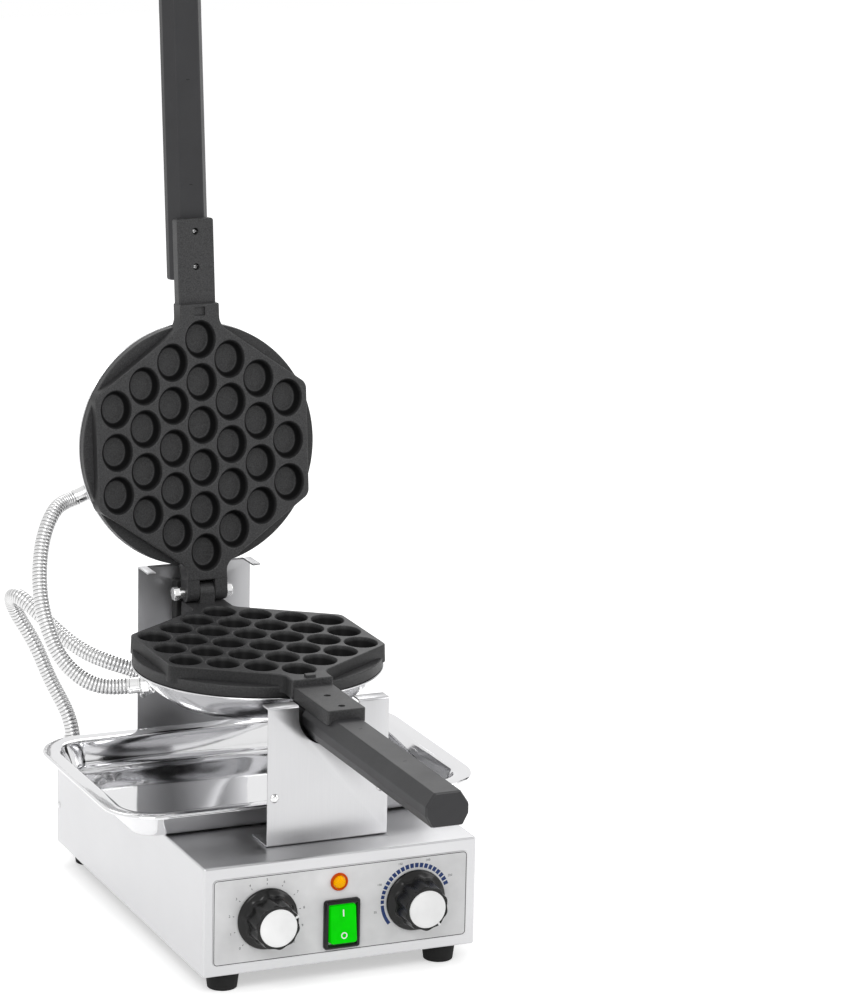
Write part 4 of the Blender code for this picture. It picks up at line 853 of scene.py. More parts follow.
# X, Y and the height above the irons' axis, or the share of the way down from it to the base
loopRoute = ((-121.8, 273.0, -53.7), (-136.1, 286.0, -46.6), (-149.8, 299.0, -31.9), (-156.0, 313.0, -10.3),
             (-158.5, 328.0, 13.7), (-155.1, 343.0, 37.4), (-148.1, 357.0, 61.2), (-136.3, 369.0, 82.0),
             (-124.4, 377.0, 92.5))
baseRoute = ((-95.6, 312.0, 0.3257), (-109.1, 328.0, 0.3026), (-123.0, 343.0, 0.2416),
             (-135.3, 358.0, 0.1509), (-147.1, 374.0, 0.0558), (-156.0, 388.0, -0.0223),
             (-160.4, 400.0, -0.0461), (-162.4, 410.0, -0.0112), (-158.5, 415.0, 0.0647),
             (-150.5, 413.0, 0.1866), (-142.3, 409.0, 0.2833), (-136.3, 403.0, 0.3888), (-130.4, 395.0, 0.5465))


def glandMatrix(degrees):
    # a place on the dome at an angle round it, with Z pointing out and a little away from the plate
    angle, tilt = np.radians(degrees), np.radians(gland["tilt"])
    out = Vector((np.cos(angle), np.sin(angle), 0))
    root = out * gland["root"]
    root.z = -dome["seat"] - dome["lipThick"] - domeDrop(gland["root"])
    along = out * np.cos(tilt) + Vector((0, 0, -np.sin(tilt)))
    return Matrix.Translation(root) @ along.to_track_quat("Z", "Y").to_matrix().to_4x4()


def glandSurfaces():
    # a chamfered hexagon with a collar and threads behind it, along Z
    start, end = gland["hexStart"], gland["hexStart"] + gland["hexLength"]
    thread = np.arange(-5.0, start, 0.45)
    radius = gland["bodyRadius"] - 0.28 * (np.arange(len(thread)) % 2)
    body = lathe(np.vstack([[(0, -5)], np.stack([radius, thread], -1), [(0, start)]]), 40)
    wide = gland["washerRadius"]
    washer = lathe([(0, start - 1.6), (wide - 0.3, start - 1.6), (wide, start - 1.3), (wide, start - 0.3),
                    (wide - 0.3, start), (0, start)], 48)
    return [body, washer, moved(hexBar(end - start, gland["across"], 1.2), at(0, 0, start))]


def ferruleSurface():
    # a smooth sleeve with a rolled rim at each end
    start = gland["hexStart"] + gland["hexLength"] + seatGap
    r, length = gland["ferruleRadius"], gland["ferruleLength"]
    profile = [(0, 0), (r - 0.6, 0), (r, 0.5), (r, 1.6), (r - 0.5, 2.1), (r - 0.5, length - 2.6),
               (r, length - 2.1), (r, length - 0.5), (r - 0.6, length), (0, length)]
    return moved(lathe(profile, 48), at(0, 0, start))


def smoothPath(start, startWay, end, endWay, route, spacing):
    # Catmull-Rom through the route as in the solid, stepping with each chord's root, then softened by
    # moving each point towards its neighbours; the length is that of the curve before it is softened
    straight = hose["straight"] * hose["radius"]
    knots = [start + startWay * straight * s for s in (0, 0.5, 1)]
    knots += [np.array(place) for place in route]
    knots += [end + endWay * straight * s for s in (1, 0.5, 0)]
    knots = np.array([knots[0] * 2 - knots[1]] + knots + [knots[-1] * 2 - knots[-2]])
    dense = []
    for p0, p1, p2, p3 in zip(knots, knots[1:], knots[2:], knots[3:]):
        t1 = np.linalg.norm(p1 - p0) ** 0.5
        t2 = t1 + np.linalg.norm(p2 - p1) ** 0.5
        t3 = t2 + np.linalg.norm(p3 - p2) ** 0.5
        share = np.linspace(0, 1, 24, endpoint=False)[:, None]
        t = t1 + (t2 - t1) * share
        low = p0 + (p1 - p0) * t / t1
        middle = p1 + (p2 - p1) * share
        high = p2 + (p3 - p2) * (t - t2) / (t3 - t2)
        first = low + (middle - low) * t / t2
        last = middle + (high - middle) * (t - t1) / (t3 - t1)
        dense.append(first + (last - first) * share)
    dense = np.vstack(dense + [knots[-2:-1]])
    reach = np.concatenate([[0], np.cumsum(np.linalg.norm(np.diff(dense, axis=0), axis=1))])
    count = int(round(reach[-1] / spacing))
    want = np.linspace(0, reach[-1], count + 1)
    path = np.stack([np.interp(want, reach, dense[:, k]) for k in range(3)], -1)
    for _ in range(hose["softening"]):
        path[1:-1] += (path[:-2] + path[2:] - 2 * path[1:-1]) / 4
    return path, reach[-1]


def tubeAlong(path, radius, sides):
    # rings square to the path, kept from twisting by carrying one side vector along
    tangent = np.gradient(path, axis=0)
    tangent /= np.linalg.norm(tangent, axis=1, keepdims=True)
    side = np.cross(tangent[0], [0.3, 0.2, 1.0])
    carried = []
    for way in tangent:
        side = side - way * (side @ way)
        side = side / np.linalg.norm(side)
        carried.append(side)
    u = np.array(carried)
    v = np.cross(tangent, u)
    angle = np.linspace(0, 2 * np.pi, sides, endpoint=False)
    ring = u[:, None] * np.cos(angle)[None, :, None] + v[:, None] * np.sin(angle)[None, :, None]
    points = path[:, None] + ring * radius[:, None, None]
    first, last = [np.repeat(end[None, None], sides, 1) for end in (path[0], path[-1])]
    return gridSurface(np.concatenate([first, points, last]), closeV=True)


def makeConduit(name, start, end, route, nodeName):
    # a tube along the smooth path whose radius dips by the rib at every half step of its pitch
    (a, aWay), (b, bWay) = start, end
    path, length = smoothPath(a, aWay, b, bWay, route, hose["pitch"] / hose["steps"])
    phase = np.arange(len(path)) / hose["steps"]
    wave = np.abs(np.cos(np.pi * phase)) ** 0.6      # round ribs with narrow grooves between
    radius = hose["radius"] - hose["rib"] * (1 - wave)
    piece = makePiece(name, tubeAlong(path, radius, hose["sides"]), hoseSteel, None, [nodeName],
                      sharp=180, ride=False)
    # each point remembers how deep in a groove it lies, from the place on the path that it is nearest to
    near = ((path ** 2).sum(1) - 2 * meshPoints(piece.data) @ path.T).argmin(1)
    markPoints(piece.data, "groove", (1 - wave)[near])
    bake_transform(piece)
    print(f"{name} is {length:.0f} mm long")


def makeConduits():
    # a gland and a sleeve at each of the irons' three ends, a gland on the base, and a tube between two
    reach = gland["hexStart"] + gland["hexLength"] + gland["ferruleLength"] + 2 * seatGap
    loopAngle, baseAngle = gland["lowerAngles"]
    ends = []
    for nodeName, body, upper, degrees in (("lower_gland_loop", "lower_iron", False, loopAngle),
                                           ("lower_gland_base", "lower_iron", False, baseAngle),
                                           ("upper_gland", "lid", True, gland["upperAngle"])):
        place = ironMatrix(upper) @ glandMatrix(degrees)
        name = nodeName.replace("_", "")
        makePiece(name + "Hex", glandSurfaces(), nickel, body, [nodeName], matrix=place)
        makePiece(name + "Sleeve", ferruleSurface(), nickel, body, [nodeName + "_ferrule"],
                  matrix=place)
        tip = np.array(place @ Vector((0, 0, reach)))
        way = np.array((place.to_3x3() @ Vector((0, 0, 1))).normalized())
        ends.append((tip, way))
    top = baseTop + seatGap
    foot = np.array((gland["baseX"] + midX, gland["baseY"] + frontY, top))
    place = at(foot[0], foot[1], top - gland["hexStart"])
    makePiece("baseGlandHex", glandSurfaces(), nickel, "base", ["base_gland"], matrix=place)
    exitPoint = foot + (0, 0, gland["hexLength"] + seatGap)
    route = [(x + midX, y + frontY, axisZ + rise) for x, y, rise in loopRoute]
    makeConduit("loopHose", ends[0], ends[2], route,
                "loop_conduit")
    route = [(x + midX, y + frontY, axisZ - down * (axisZ - baseTop)) for x, y, down in baseRoute]
    makeConduit("baseHose", ends[1], (exitPoint, np.array((0.0, 0.0, 1.0))), route,
                "base_conduit")


makeConduits()
print("conduits are ready")

# Base box, its feet and the panel
housing = {"edge": 1.8, "corner": 2.2, "screw": (3.2, 1.5), "screwY": 378.0, "screwZ": 53.5}
rubberFoot = ((0, 0), (8, 0), (8.4, 0.9), (11.6, 0.9), (12.3, 0.1), (12.8, 0.5), (14.7, 15.1), (14.9, 15.7),
              (14.4, 16.2), (0, 16.2))


def makeHousing():
    # a box with soft edges on four turned feet, and one screw on its left side
    low, high = housingLow, housingHigh
    middle = (low + high) / 2
    half = (high - low) / 2
    shape = outline(box(half[0], half[1], housing["corner"], middle[0], middle[1]))
    makePiece("housingShell", prism(shape, low[2], high[2], housing["edge"], 6), brushedSheet, "base",
              ["base_housing"])
    for side in ("left", "right"):
        for row in ("front", "rear"):
            solid = f"foot_{row}_{side}"
            x, y = sum(nodeBox(solid))[:2] / 2
            makePiece(f"rubberFoot{row.title()}{side.title()}", moved(lathe(rubberFoot, 48), at(x, y, 0)),
                      rubberBlack, "base", [solid])
    place = at(low[0], housing["screwY"] + frontY, housing["screwZ"]) @ Matrix.Rotation(-np.pi / 2, 4, "Y")
    screw = [moved(part(*housing["screw"]), place) for part in (panHead, crossMark)]
    makePiece("housingSideScrew", screw, nickel, "base")


labelLow, labelHigh = nodeBox("control_label")
panel = {"halfX": (labelHigh[0] - labelLow[0]) / 2, "halfZ": (labelHigh[2] - labelLow[2]) / 2,
         "middleZ": (labelHigh[2] + labelLow[2]) / 2, "thick": 0.4, "corner": 4.0, "knobX": 68.0,
         "knobZ": baseTop - 49.5, "borderInsets": (0.6, 1.2), "printDepth": 0.06}
panelFace = at(0, -seatGap - panel["thick"], 0) @ standUp
timerScale = {"count": 11, "first": 225, "step": 27, "inner": 29.8, "outer": 31.2, "half": 0.25,
              "numbers": 34.2, "size": 3.2}
heatScale = {"inner": 28.8, "outer": 31.8, "rise": 1.0, "band": (219, 184), "blocks": 20,
             "block": (181, 175.0), "step": 8.2, "reach": (37.5, 36.0), "size": 2.8,
             "numbers": ((50, 192), (100, 152), (150, 112), (200, 72), (250, 30))}


def flatPrint(name, shapes, material):
    # thin printing on the label, from outlines drawn in X and Z
    surfaces = [moved(prism(shape, 0, panel["printDepth"], 0.01, 1), panelFace) for shape in shapes]
    makePiece(name, surfaces, material, "base", matrix=machine)


def arcBand(x, z, inner, outer, first, last):
    # the part of a ring between two angles
    steps = max(3, int(abs(last - first) / 4))
    return np.vstack([arc((x, z), outer, first, last, steps), arc((x, z), inner, last, first, steps)])


def textShapes(text, x, z, size):
    # a number from the built-in font as a flat mesh surface in X and Z
    curve = bpy.data.curves.new("number", "FONT")
    curve.body = text
    curve.size = size * mm
    curve.align_x = "CENTER"
    curve.align_y = "CENTER"
    curve.resolution_u = 3
    holder = addObject("number", curve)
    mesh = shownMesh(holder)
    points = meshPoints(mesh)
    faces = [tuple(face.vertices) for face in mesh.polygons]
    bpy.data.objects.remove(holder)
    flat = np.column_stack([points[:, 0] + x, np.zeros(len(points)), points[:, 1] + z])
    return flat, faces


def makePanel():
    # a thin label with a printed border, and a scale round each knob
    halfX, halfZ, corner, middle = panel["halfX"], panel["halfZ"], panel["corner"], panel["middleZ"]
    label = prism(outline(box(halfX, halfZ, corner, 0, middle)), 0, panel["thick"], 0.12, 2)
    makePiece("panelLabel", moved(label, at(0, -seatGap, 0) @ standUp), labelFilm, "base", ["control_label"],
              matrix=machine)
    rings = [outline(box(halfX - inset, halfZ - inset, corner - inset, 0, middle))
             for inset in panel["borderInsets"]]
    border = capSurface(rings[0], 0.05, [rings[1]])
    makePiece("panelBorder", moved(border, panelFace), printInk, "base", matrix=machine)
    # timer: ticks at even angles with their numbers outside
    ticks, numbers = [], []
    x, z = -panel["knobX"], panel["knobZ"]
    inner, outer, half, away = [timerScale[key] for key in ("inner", "outer", "half", "numbers")]
    for k in range(timerScale["count"]):
        angle = np.radians(timerScale["first"] - timerScale["step"] * k)
        c, s = np.cos(angle), np.sin(angle)
        corners = ((inner, half), (outer, half), (outer, -half), (inner, -half))
        ticks.append(np.array([(x + r * c + w * s, z + r * s - w * c) for r, w in corners]))
        numbers.append(textShapes(str(k), x + away * c, z + away * s, timerScale["size"]))
    flatPrint("timerTicks", ticks, printInk)
    # heat scale: one solid band, then blocks that climb over the top of the dial
    x = panel["knobX"]
    inner, outer, rise, step = [heatScale[key] for key in ("inner", "outer", "rise", "step")]
    first, last = heatScale["block"]
    bands = [arcBand(x, z, inner, outer, *heatScale["band"])]
    bands += [arcBand(x, z, inner, outer + rise * min(k / 6, 1), first - step * k, last - step * k)
              for k in range(heatScale["blocks"])]
    flatPrint("heatScale", bands, printBlue)
    highest = middle + halfZ - 3.2
    for value, degrees in heatScale["numbers"]:
        angle = np.radians(degrees)
        across, up = heatScale["reach"]
        height = min(z + up * np.sin(angle), highest)
        numbers.append(textShapes(str(value), x + across * np.cos(angle), height, heatScale["size"]))
    points, faces = merged(numbers)
    inFront = (0, seatGap + panel["thick"] + 0.05, 0)
    makePiece("panelNumbers", (points - inFront, faces), printInk, "base", matrix=machine)


# each knob's radius by depth, its cap's section, and its pointer's inner and outer radius and half width
knob = {"gap": 0.8, "flutes": 10, "capPlace": 26.3, "mark": (16.9, 20.2, 1.0), "markDepth": (22.5, 26.3),
        "depth": (0, 0, 0.4, 1.8, 2.6, 3.2, 3.8, 4.8, 6.0, 8.0, 11, 14, 17, 20, 22.5, 24.2,
                  25.2, 25.8, 26, 26),
        "radius": (0, 26.4, 27, 27, 26.7, 26.0, 24.8, 23.0, 21.8, 21.2, 21.0, 20.8, 20.6, 20.4, 20.2, 20.0,
                   19.9, 19.6, 19.0, 0),
        "fluting": ((3.6, 6.5, 24.0, 25.8), (0, 1.7, 1.5, 1.1)),
        "cap": ((0, 1.3), (13.2, 1.3), (15.5, 1.4), (16.3, 1.1), (16.6, 0.6), (16.6, 0), (0, 0))}


def makeKnob(name, body, side, pointer):
    # the fluted grip is a polar surface: a radius by depth, less a scallop that fades at both ends
    depth, radius = np.array(knob["depth"]), np.array(knob["radius"])
    amount = np.interp(depth, *knob["fluting"])
    angle = np.linspace(0, 2 * np.pi, 200, endpoint=False)
    flutes = knob["flutes"]
    scallop = 0.5 + 0.5 * np.cos(flutes * (angle - np.radians(pointer) + np.pi / flutes))
    r = np.maximum(radius[:, None] - amount[:, None] * scallop[None], 0) * (radius > 0)[:, None]
    points = np.stack([r * np.cos(angle), r * np.sin(angle), depth[:, None] + 0 * angle], -1)
    back = seatGap + panel["thick"] + knob["gap"]
    place = machine @ at(side * panel["knobX"], -back, panel["knobZ"]) @ standUp
    makePiece(name + "Fluted", gridSurface(points, closeV=True), knobPlastic, body, [name],
              sharp=50, matrix=place)
    makePiece(name + "CapDisc", lathe(knob["cap"], 96), capSilver, body, [name + "_cap"],
              matrix=place @ at(0, 0, knob["capPlace"]))
    # the pointer is a white notch that starts at the cap's rim and runs down the grip's edge
    inner, outer, half = knob["mark"]
    mark = np.array([(inner, -half), (outer, -half), (outer, half), (inner, half)])
    surface = moved(prism(mark, *knob["markDepth"], 0.1), Matrix.Rotation(np.radians(pointer), 4, "Z"))
    makePiece(name + "Pointer", surface, printWhite, body, matrix=place)


# half sizes and corner radius of the frame, its well and the rocker; sections as (offset, height)
switch = {"drop": 62.5, "proud": 0.6, "half": (16.5, 22.0, 3.0), "well": (12.7, 18.2, 1.0),
          "wellDepth": (-8.2, -7.9),
          "frame": ((0, 0), (0, 2.2), (-0.5, 3.6), (-1.2, 4.5), (-1.9, 4.8), (-2.8, 4.7), (-3.4, 4.2),
                    (-3.7, 3.4), (-3.7, -8)),
          "rocker": (12.0, 16.8, 2.6), "axisY": 1.2, "tilt": -7, "reach": 8.2, "back": -3.8, "rim": 1.3,
          "hollow": 0.5, "markPlace": 9.8, "markProud": 0.08, "markDepth": 0.12}
pilotLamp = {"x": -2.5, "drop": 25.0, "proud": 0.6,
             "bezel": ((5.9, -6), (5.9, 1.0), (6.1, 1.9), (6.7, 2.2), (7.4, 1.9), (7.8, 1.2), (7.9, 0.5),
                       (7.9, 0), (0, 0)),
             "lens": ((0, 4.4), (1.7, 4.3), (3.1, 3.9), (4.3, 3.2), (5.1, 2.4), (5.5, 1.4), (5.6, 0.2),
                      (0, 0.2))}


def makeSwitch():
    # frame: a rounded rectangle whose front is chamfered and falls into a well
    height = baseTop - switch["drop"]
    place = machine @ at(0, -switch["proud"], height)
    frameSurface = sweepOutline(outline(box(*switch["half"])), switch["frame"])
    makePiece("switchFrameMoulded", moved(frameSurface, standUp), knobPlastic, "base", ["power_switch_frame"],
              matrix=place)
    well = prism(outline(box(*switch["well"])), *switch["wellDepth"], 0.1)
    makePiece("switchWell", moved(well, standUp), blockPlastic, "base", matrix=place)
    # rocker: a rounded rectangle carried out from its axis to a slightly hollow face
    place = machine @ at(0, switch["axisY"], height) @ Matrix.Rotation(np.radians(switch["tilt"]), 4, "X")
    face = outline(box(*switch["rocker"]))
    reach, back, width = switch["reach"], switch["back"], switch["rim"]
    rim = sweepOutline(face, [(-3.0, back), (0, 0), (0, reach - 1.4), (-0.15, reach - 0.8),
                              (-0.6, reach - 0.25), (-width, reach)])
    hollow = []
    for share in (1.0, 0.75, 0.5, 0.25, 0.0):
        ring = (face - outlineNormals(face) * width) * share
        sink = (1 - (ring[:, 1] / (switch["rocker"][1] - width)) ** 2) * (1 - share ** 4)
        hollow.append(np.column_stack([ring, reach - switch["hollow"] * sink]))
    closed = capSurface(face - outlineNormals(face) * 3.0, back)
    rocker = merged([rim, gridSurface(np.array(hollow), closeV=True), closed])
    makePiece("rockerLit", moved(rocker, standUp), rockerGreen, "rocker", ["power_rocker"],
              matrix=place)
    away, deep = switch["markPlace"], switch["markDepth"]
    bar = prism(outline(box(0.6, 3.0, 0.2, 0, away)), 0, deep, 0.03)
    ring = sweepOutline(circle(0, -away, 2.9, 40), [(0, 0), (0, deep), (-0.95, deep), (-0.95, 0)])
    lifted = at(0, -reach + switch["markProud"], 0) @ standUp
    makePiece("rockerMarks", [moved(bar, lifted), moved(ring, lifted)], printWhite, "rocker", matrix=place)
    place = machine @ at(pilotLamp["x"], -pilotLamp["proud"], baseTop - pilotLamp["drop"]) @ standUp
    makePiece("lampBezel", lathe(pilotLamp["bezel"], 64), lampOrange, "base", ["pilot_lamp_bezel"],
              matrix=place)
    makePiece("lampLens", lathe(pilotLamp["lens"], 64), lensAmber, "base", ["pilot_lamp_lens"],
              sharp=60, matrix=place)


makeHousing()
makePanel()
makeKnob("timer_knob", "timer_knob_body", -1, 25)
makeKnob("thermostat_knob", "thermostat_knob_body", 1, -52)
makeSwitch()
print("base and panel are ready")

# Brackets, cradle and bearing block
bracket = {"sheet": 1.5, "bend": 1.6, "edge": 0.25, "notchHalf": 27.5, "notchDrop": 48.0,
           "frontY": 33.4, "frontHalf": 55.3, "frontDrop": 11.0, "frontFlange": 13.6, "frontFoot": 34.0,
           "rearY": 361.0, "rearHalf": 54.5, "rearRise": 30.5, "rearFlange": 27.5, "rearFoot": 38.0,
           "earWidth": 7.5, "earGap": (14, 3.0, 11.6), "journalHole": 7.4,
           "screwX": 49.0, "screwZ": baseTop + 43.5, "head": (4.0, 1.9), "shank": (2.0, 6.6, 0.3, 0.4),
           "nut": (3.0, 7.5, 0.5), "nutPlace": 4.8}


def bentSheet(name, nodeName, section, half, cutters, material):
    # the section's centre line with round bends, carried across, then given its thickness
    corners = np.array(section, float)
    line = [corners[0]]
    for k in range(1, len(corners) - 1):
        back = corners[k - 1] - corners[k]
        ahead = corners[k + 1] - corners[k]
        back, ahead = back / np.linalg.norm(back), ahead / np.linalg.norm(ahead)
        r = bracket["bend"]
        a, b = corners[k] + back * r, corners[k] + ahead * r
        centre = corners[k] + (back + ahead) * r
        for t in np.linspace(0, np.pi / 2, 7):
            line.append(centre + (a - centre) * np.cos(t) + (b - centre) * np.sin(t))
    line.append(corners[-1])
    points = np.array([[(x, y, z) for x in (-half, half)] for y, z in line])
    flat = addObject(name, surfaceMesh(name, gridSurface(points)))
    wall = flat.modifiers.new("wall", "SOLIDIFY")
    wall.thickness = bracket["sheet"] * mm
    wall.offset = 0
    tools = [cutterObject(cutter) for cutter in cutters]
    for tool in tools:
        takeAway(flat, tool)
    edge = flat.modifiers.new("edge", "BEVEL")
    edge.width = bracket["edge"] * mm
    edge.segments = 2
    edge.limit_method = "ANGLE"
    edge.angle_limit = np.radians(50)
    final = shownMesh(flat)
    final.transform(Matrix.Translation((midX * mm, frontY * mm, 0)))
    for item in tools + [flat]:
        bpy.data.objects.remove(item, do_unlink=True)
    final.shade_smooth()
    final.set_sharp_from_angle(angle=np.radians(35))
    piece = addObject(name, final)
    final.materials.append(material)
    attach(piece, "base")
    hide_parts(nodeName)


def notchTool(low, high):
    # a deep U open at the top: a half circle at the bottom and two straight sides
    half = bracket["notchHalf"]
    middle = axisZ - bracket["notchDrop"] + half
    shape = np.vstack([arc((0, middle), half, 180, 360, 48), [(half, axisZ + 5), (-half, axisZ + 5)]])
    return moved(prism(shape, -high, -low, 0.01, 1), standUp)


def makeBrackets():
    # the front sheet is a foot, a wall and a flange, with the deep U cut down from the top
    h = bracket["sheet"] / 2
    foot = baseTop + seatGap + h
    y, flange = bracket["frontY"], bracket["frontFlange"]
    top = axisZ - bracket["frontDrop"] - h
    section = [(y + bracket["frontFoot"], foot), (y + h, foot), (y + h, top), (y + flange, top)]
    bentSheet("frontBracketSheet", "front_bracket", section, bracket["frontHalf"],
              [notchTool(y - 5, y + flange + 5)], bracketSheet)
    # the rear sheet keeps an ear at each end of its top flange, and has the journal's hole
    outer, flange = bracket["rearY"] + bracket["sheet"], bracket["rearFlange"]
    rim = axisZ + bracket["rearRise"]
    section = [(outer - flange, rim - h), (outer - h, rim - h), (outer - h, foot),
               (outer - bracket["rearFoot"], foot)]
    halfY, corner, shift = bracket["earGap"]
    gap = outline(box(bracket["rearHalf"] - bracket["earWidth"], halfY, corner, 0, outer - flange + shift))
    r = bracket["journalHole"]
    hole = moved(lathe([(0, -5), (r, -5), (r, 5), (0, 5)], 48), at(0, outer, axisZ) @ standUp)
    bentSheet("rearBracketSheet", "rear_bracket", section, bracket["rearHalf"],
              [prism(gap, rim - 3, rim + 3, 0.01, 1), hole], shadedRearSheet)
    # both brackets have a pan head screw and a nut near each edge
    head = merged([panHead(*bracket["head"]), crossMark(*bracket["head"])])
    screw = [moved(head, at(0, -0.2, 0) @ standUp), moved(screwShank(*bracket["shank"]), standUp)]
    nut = moved(hexBar(*bracket["nut"]), at(0, bracket["nutPlace"], 0) @ standUp)
    for end, place in (("front", bracket["frontY"]), ("rear", bracket["rearY"])):
        for hand, side in (("left", -1), ("right", 1)):
            seat = machine @ at(side * bracket["screwX"], place, bracket["screwZ"])
            makePiece(f"{end}{hand.title()}PanHead", screw, nickel, "base", [f"{end}_bracket_screw_{hand}"],
                      matrix=seat)
            makePiece(f"{end}{hand.title()}HexNut", nut, nickel, "base", [f"{end}_bracket_nut_{hand}"],
                      matrix=seat)


cradle = {"half": 36.0, "bore": 28.0, "topDrop": 22.0, "lowDrop": 54.5, "step": 51.8, "back": 82.0,
          "edge": 0.6}


def makeSupports():
    # the cradle's section has the irons' round bore in its top; the front of it keeps the deep U
    half, bore, step, edge = cradle["half"], cradle["bore"], cradle["step"], cradle["edge"]
    top, low = axisZ - cradle["topDrop"], axisZ - cradle["lowDrop"]
    start = bracket["frontY"] + bracket["sheet"] + seatGap
    first = np.degrees(np.arcsin((axisZ - top) / bore))
    hollow = arc((0, axisZ), bore, 180 + first, 360 - first, 40)
    shape = np.vstack([[(half, top)], hollow[::-1], [(-half, top), (-half, low), (half, low)]])
    rear = moved(prism(shape, -cradle["back"], -step, edge), standUp)
    deep, u = axisZ - bracket["notchDrop"], bracket["notchHalf"]
    bottom = arc((0, deep + u), u, 180, 360, 40)
    shape = np.vstack([[(half, top), (u, top)], bottom[::-1],
                       [(-u, top), (-half, top), (-half, low), (half, low)]])
    front = moved(prism(shape, -step - 0.5, -start, edge), standUp)
    makePiece("cradleBlock", [rear, front], blockPlastic, "base", ["front_cradle"],
              matrix=machine)
    low, high = nodeBox("rear_bearing_block")
    size = high - low
    block = outline(box(size[0] / 2, size[2] / 2, 1.5, 0, (low[2] + high[2]) / 2))
    makePiece("bearingBlock", moved(prism(block, 0, size[1], 0.8), at(midX, high[1], 0) @ standUp),
              blockPlastic, "base", ["rear_bearing_block"])


makeBrackets()
makeSupports()
print("brackets are ready")

# Drip tray
tray = {"halfX": 170.5, "middleX": -5.0, "front": 66.0, "back": 312.0, "corner": 46.0, "rise": 27.0,
        "wall": 0.9, "curl": 2.0,
        "fromRim": ((-5.0, 0.0), (-8.5, -0.1), (-12.0, -0.4), (-14.3, -0.9), (-15.6, -1.8), (-16.6, -3.2),
                    (-18.6, -7.5), (-21.0, -13.0)),
        "fromFloor": ((-23.3, 7.0), (-24.4, 4.2), (-25.8, 2.0), (-27.6, 0.7), (-30.0, 0.1), (-33.0, 0.0))}


def makeTray():
    # a pressed tray: each profile step is an inset from the outline and a height from the rim or the floor
    rim = baseTop + tray["rise"]
    floor = baseTop + seatGap + tray["wall"]
    middle = (tray["front"] + tray["back"]) / 2
    half = (tray["back"] - tray["front"]) / 2
    shape = outline(box(tray["halfX"], half, tray["corner"], tray["middleX"], middle), steps=20)
    r = tray["curl"]
    profile = np.vstack([arc((-r, rim - r), r, -25, 90, 9), np.array(tray["fromRim"]) + (0, rim),
                         np.array(tray["fromFloor"]) + (0, floor)])
    inner = shape + outlineNormals(shape) * tray["fromFloor"][-1][0]
    surface = merged([sweepOutline(shape, profile), capSurface(inner, floor)])
    piece = makePiece("pressedTray", surface, trayMirror, "tray", ["drip_tray"], sharp=60,
                      matrix=machine)
    # an open sheet has no outside of its own, so its upper side is made the front before it gets its wall
    work = bmesh.new()
    work.from_mesh(piece.data)
    if sum(face.normal.z * face.calc_area() for face in work.faces) < 0:
        bmesh.ops.reverse_faces(work, faces=work.faces)
    work.to_mesh(piece.data)
    work.free()
    wall = piece.modifiers.new("wall", "SOLIDIFY")
    wall.thickness = tray["wall"] * mm * 0.9
    wall.offset = -1
    piece.modifiers.move(len(piece.modifiers) - 1, 0)


makeTray()
print("tray is ready")

# Carried-over nodes behind the panel and under the base
for names, material in ((("timer_knob_unit", "thermostat_knob_unit"), unitPlastic),
                        (("timer_knob_shaft", "thermostat_knob_shaft", "rear_journal"), nickel),
                        (("lower_heating_element", "upper_heating_element"), darkSteel),
                        (("bottom_plate",), brushedSheet)):
    for name in names:
        mesh = frame["nodes"][name].data
        mesh.materials.clear()
        mesh.materials.append(material)

# Stage: a pale floor, soft lamps and a world that shows white behind the object
camera = {"place": (-1277.2, -3051.2, 1246.8), "yaw": 0.418, "pitch": 0.244, "roll": 0.022,
          "focalPixels": 4109.9, "longSide": 1000.0, "sensor": 36.0}
stage = {"aim": (0, 0, 0.3), "floorHalf": 6, "floorZ": -0.0002, "floorTone": 0.86, "floorGlow": 0.50,
         "sky": 0.62,
         "lamps": (("keyLamp", (-1.6, -2.2, 2.6), (1.6, 1.6), 42),
                   ("fillLamp", (2.4, -1.6, 1.6), (1.4, 1.4), 16),
                   ("rimLamp", (0.6, 2.4, 2.2), (1.4, 1.0), 18)),
         "flags": (("flagHigh", (0.4, -0.6, 2.6), (2.6, 0.5)), ("flagSide", (2.4, 0.6, 0.9), (0.7, 2.2)),
                   ("flagFront", (0.9, -2.6, 0.5), (0.8, 1.6)))}


def makeCamera():
    # the photograph's camera: turned by yaw, pitch and roll, with the lens from its length in pixels
    yaw, pitch, roll = camera["yaw"], camera["pitch"], camera["roll"]
    ahead = Vector((np.sin(yaw) * np.cos(pitch), np.cos(yaw) * np.cos(pitch), -np.sin(pitch)))
    right = Vector((np.cos(yaw), -np.sin(yaw), 0))
    up = right.cross(ahead)
    tiltedRight = right * np.cos(roll) + up * np.sin(roll)
    tiltedUp = up * np.cos(roll) - right * np.sin(roll)
    data = bpy.data.cameras.new("studioCamera")
    data.sensor_width = camera["sensor"]
    data.lens = camera["focalPixels"] / camera["longSide"] * camera["sensor"]
    data.clip_start = 0.1
    data.clip_end = 50
    made = addObject("studioCamera", data)
    x, y, z = camera["place"]
    turn = Matrix((tiltedRight, tiltedUp, -ahead)).transposed().to_4x4()
    made.matrix_world = Matrix.Translation(((x + midX) * mm, (y + frontY) * mm, z * mm)) @ turn
    bpy.context.scene.camera = made


def aimed(name, data, place, axis):
    # a lamp or a card at its place, with one axis towards the object
    made = addObject(name, data)
    made.location = place
    made.rotation_mode = "QUATERNION"
    made.rotation_quaternion = (Vector(stage["aim"]) - Vector(place)).to_track_quat(axis, "Y")
    return made


def flatCard(name, halfX, halfY, z=0):
    # a rectangle in metres about the middle
    mesh = bpy.data.meshes.new(name)
    corners = [(-halfX, -halfY, z), (halfX, -halfY, z), (halfX, halfY, z), (-halfX, halfY, z)]
    mesh.from_pydata(corners, [], [(0, 1, 2, 3)])
    return mesh


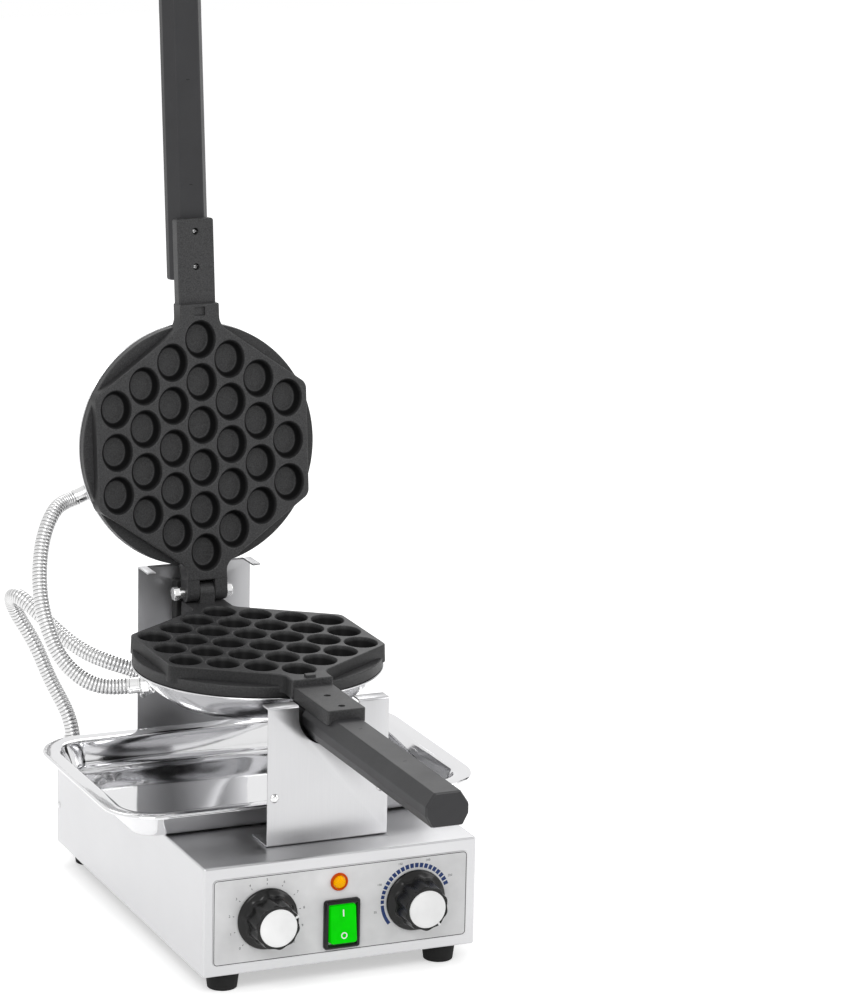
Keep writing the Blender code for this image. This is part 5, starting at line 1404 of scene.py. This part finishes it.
def makeLamp(name, place, size, power):
    # a rectangular area lamp, with its size in metres and its power in watts
    data = bpy.data.lights.new(name, "AREA")
    data.shape = "RECTANGLE"
    data.size, data.size_y = size
    data.energy = power
    aimed(name, data, place, "-Z")


def makeFlag(name, place, size):
    # a dark card that only gloss sees, as a studio's black flag
    card = aimed(name, flatCard(name, size[0] / 2, size[1] / 2), place, "Z")
    card.visible_camera = card.visible_diffuse = card.visible_shadow = False
    made = startMaterial(name + "Cloth", Roughness=1.0, Base_Color=(0.02, 0.02, 0.02, 1))[0]
    card.data.materials.append(made)


def backdropRays(tree):
    # 1 for the rays that show the backdrop itself: the camera's, transmitted and glossy ones
    path = node(tree, "ShaderNodeLightPath")
    seen = mathNode(tree, "MAXIMUM", path.outputs["Is Camera Ray"], path.outputs["Is Transmission Ray"])
    return mathNode(tree, "MAXIMUM", seen, path.outputs["Is Glossy Ray"])


def makeStage():
    # the backdrop is brighter to the rays that show it than to those that light the object
    world = bpy.data.worlds.new("studioWorld")
    bpy.context.scene.world = world
    world.use_nodes = True
    tree = world.node_tree
    tree.nodes.clear()
    white = (1, 1, 1, 1)
    soft = node(tree, "ShaderNodeBackground", {"Color": white, "Strength": stage["sky"]})
    full = node(tree, "ShaderNodeBackground", {"Color": white, "Strength": 1.0})
    mix = node(tree, "ShaderNodeMixShader", {0: backdropRays(tree), 1: soft.outputs[0], 2: full.outputs[0]})
    end = node(tree, "ShaderNodeOutputWorld")
    tree.links.new(mix.outputs[0], end.inputs["Surface"])

    half, z, tone = stage["floorHalf"], stage["floorZ"], stage["floorTone"]
    floor = addObject("studioFloor", flatCard("studioFloor", half, half, z))
    made, tree, shader = startMaterial("floorPaper", Roughness=0.9, Specular_IOR_Level=0.1,
                                       Base_Color=(tone, tone, tone, 1), Emission_Color=white)[:3]
    glow = mathNode(tree, "MULTIPLY", backdropRays(tree), stage["floorGlow"])
    tree.links.new(glow, shader.inputs["Emission Strength"])
    floor.data.materials.append(made)
    for flag in stage["flags"]:
        makeFlag(*flag)
    for lamp in stage["lamps"]:
        makeLamp(*lamp)
    bpy.context.scene.view_settings.view_transform = "Standard"


makeCamera()
makeStage()
print("stage is ready")
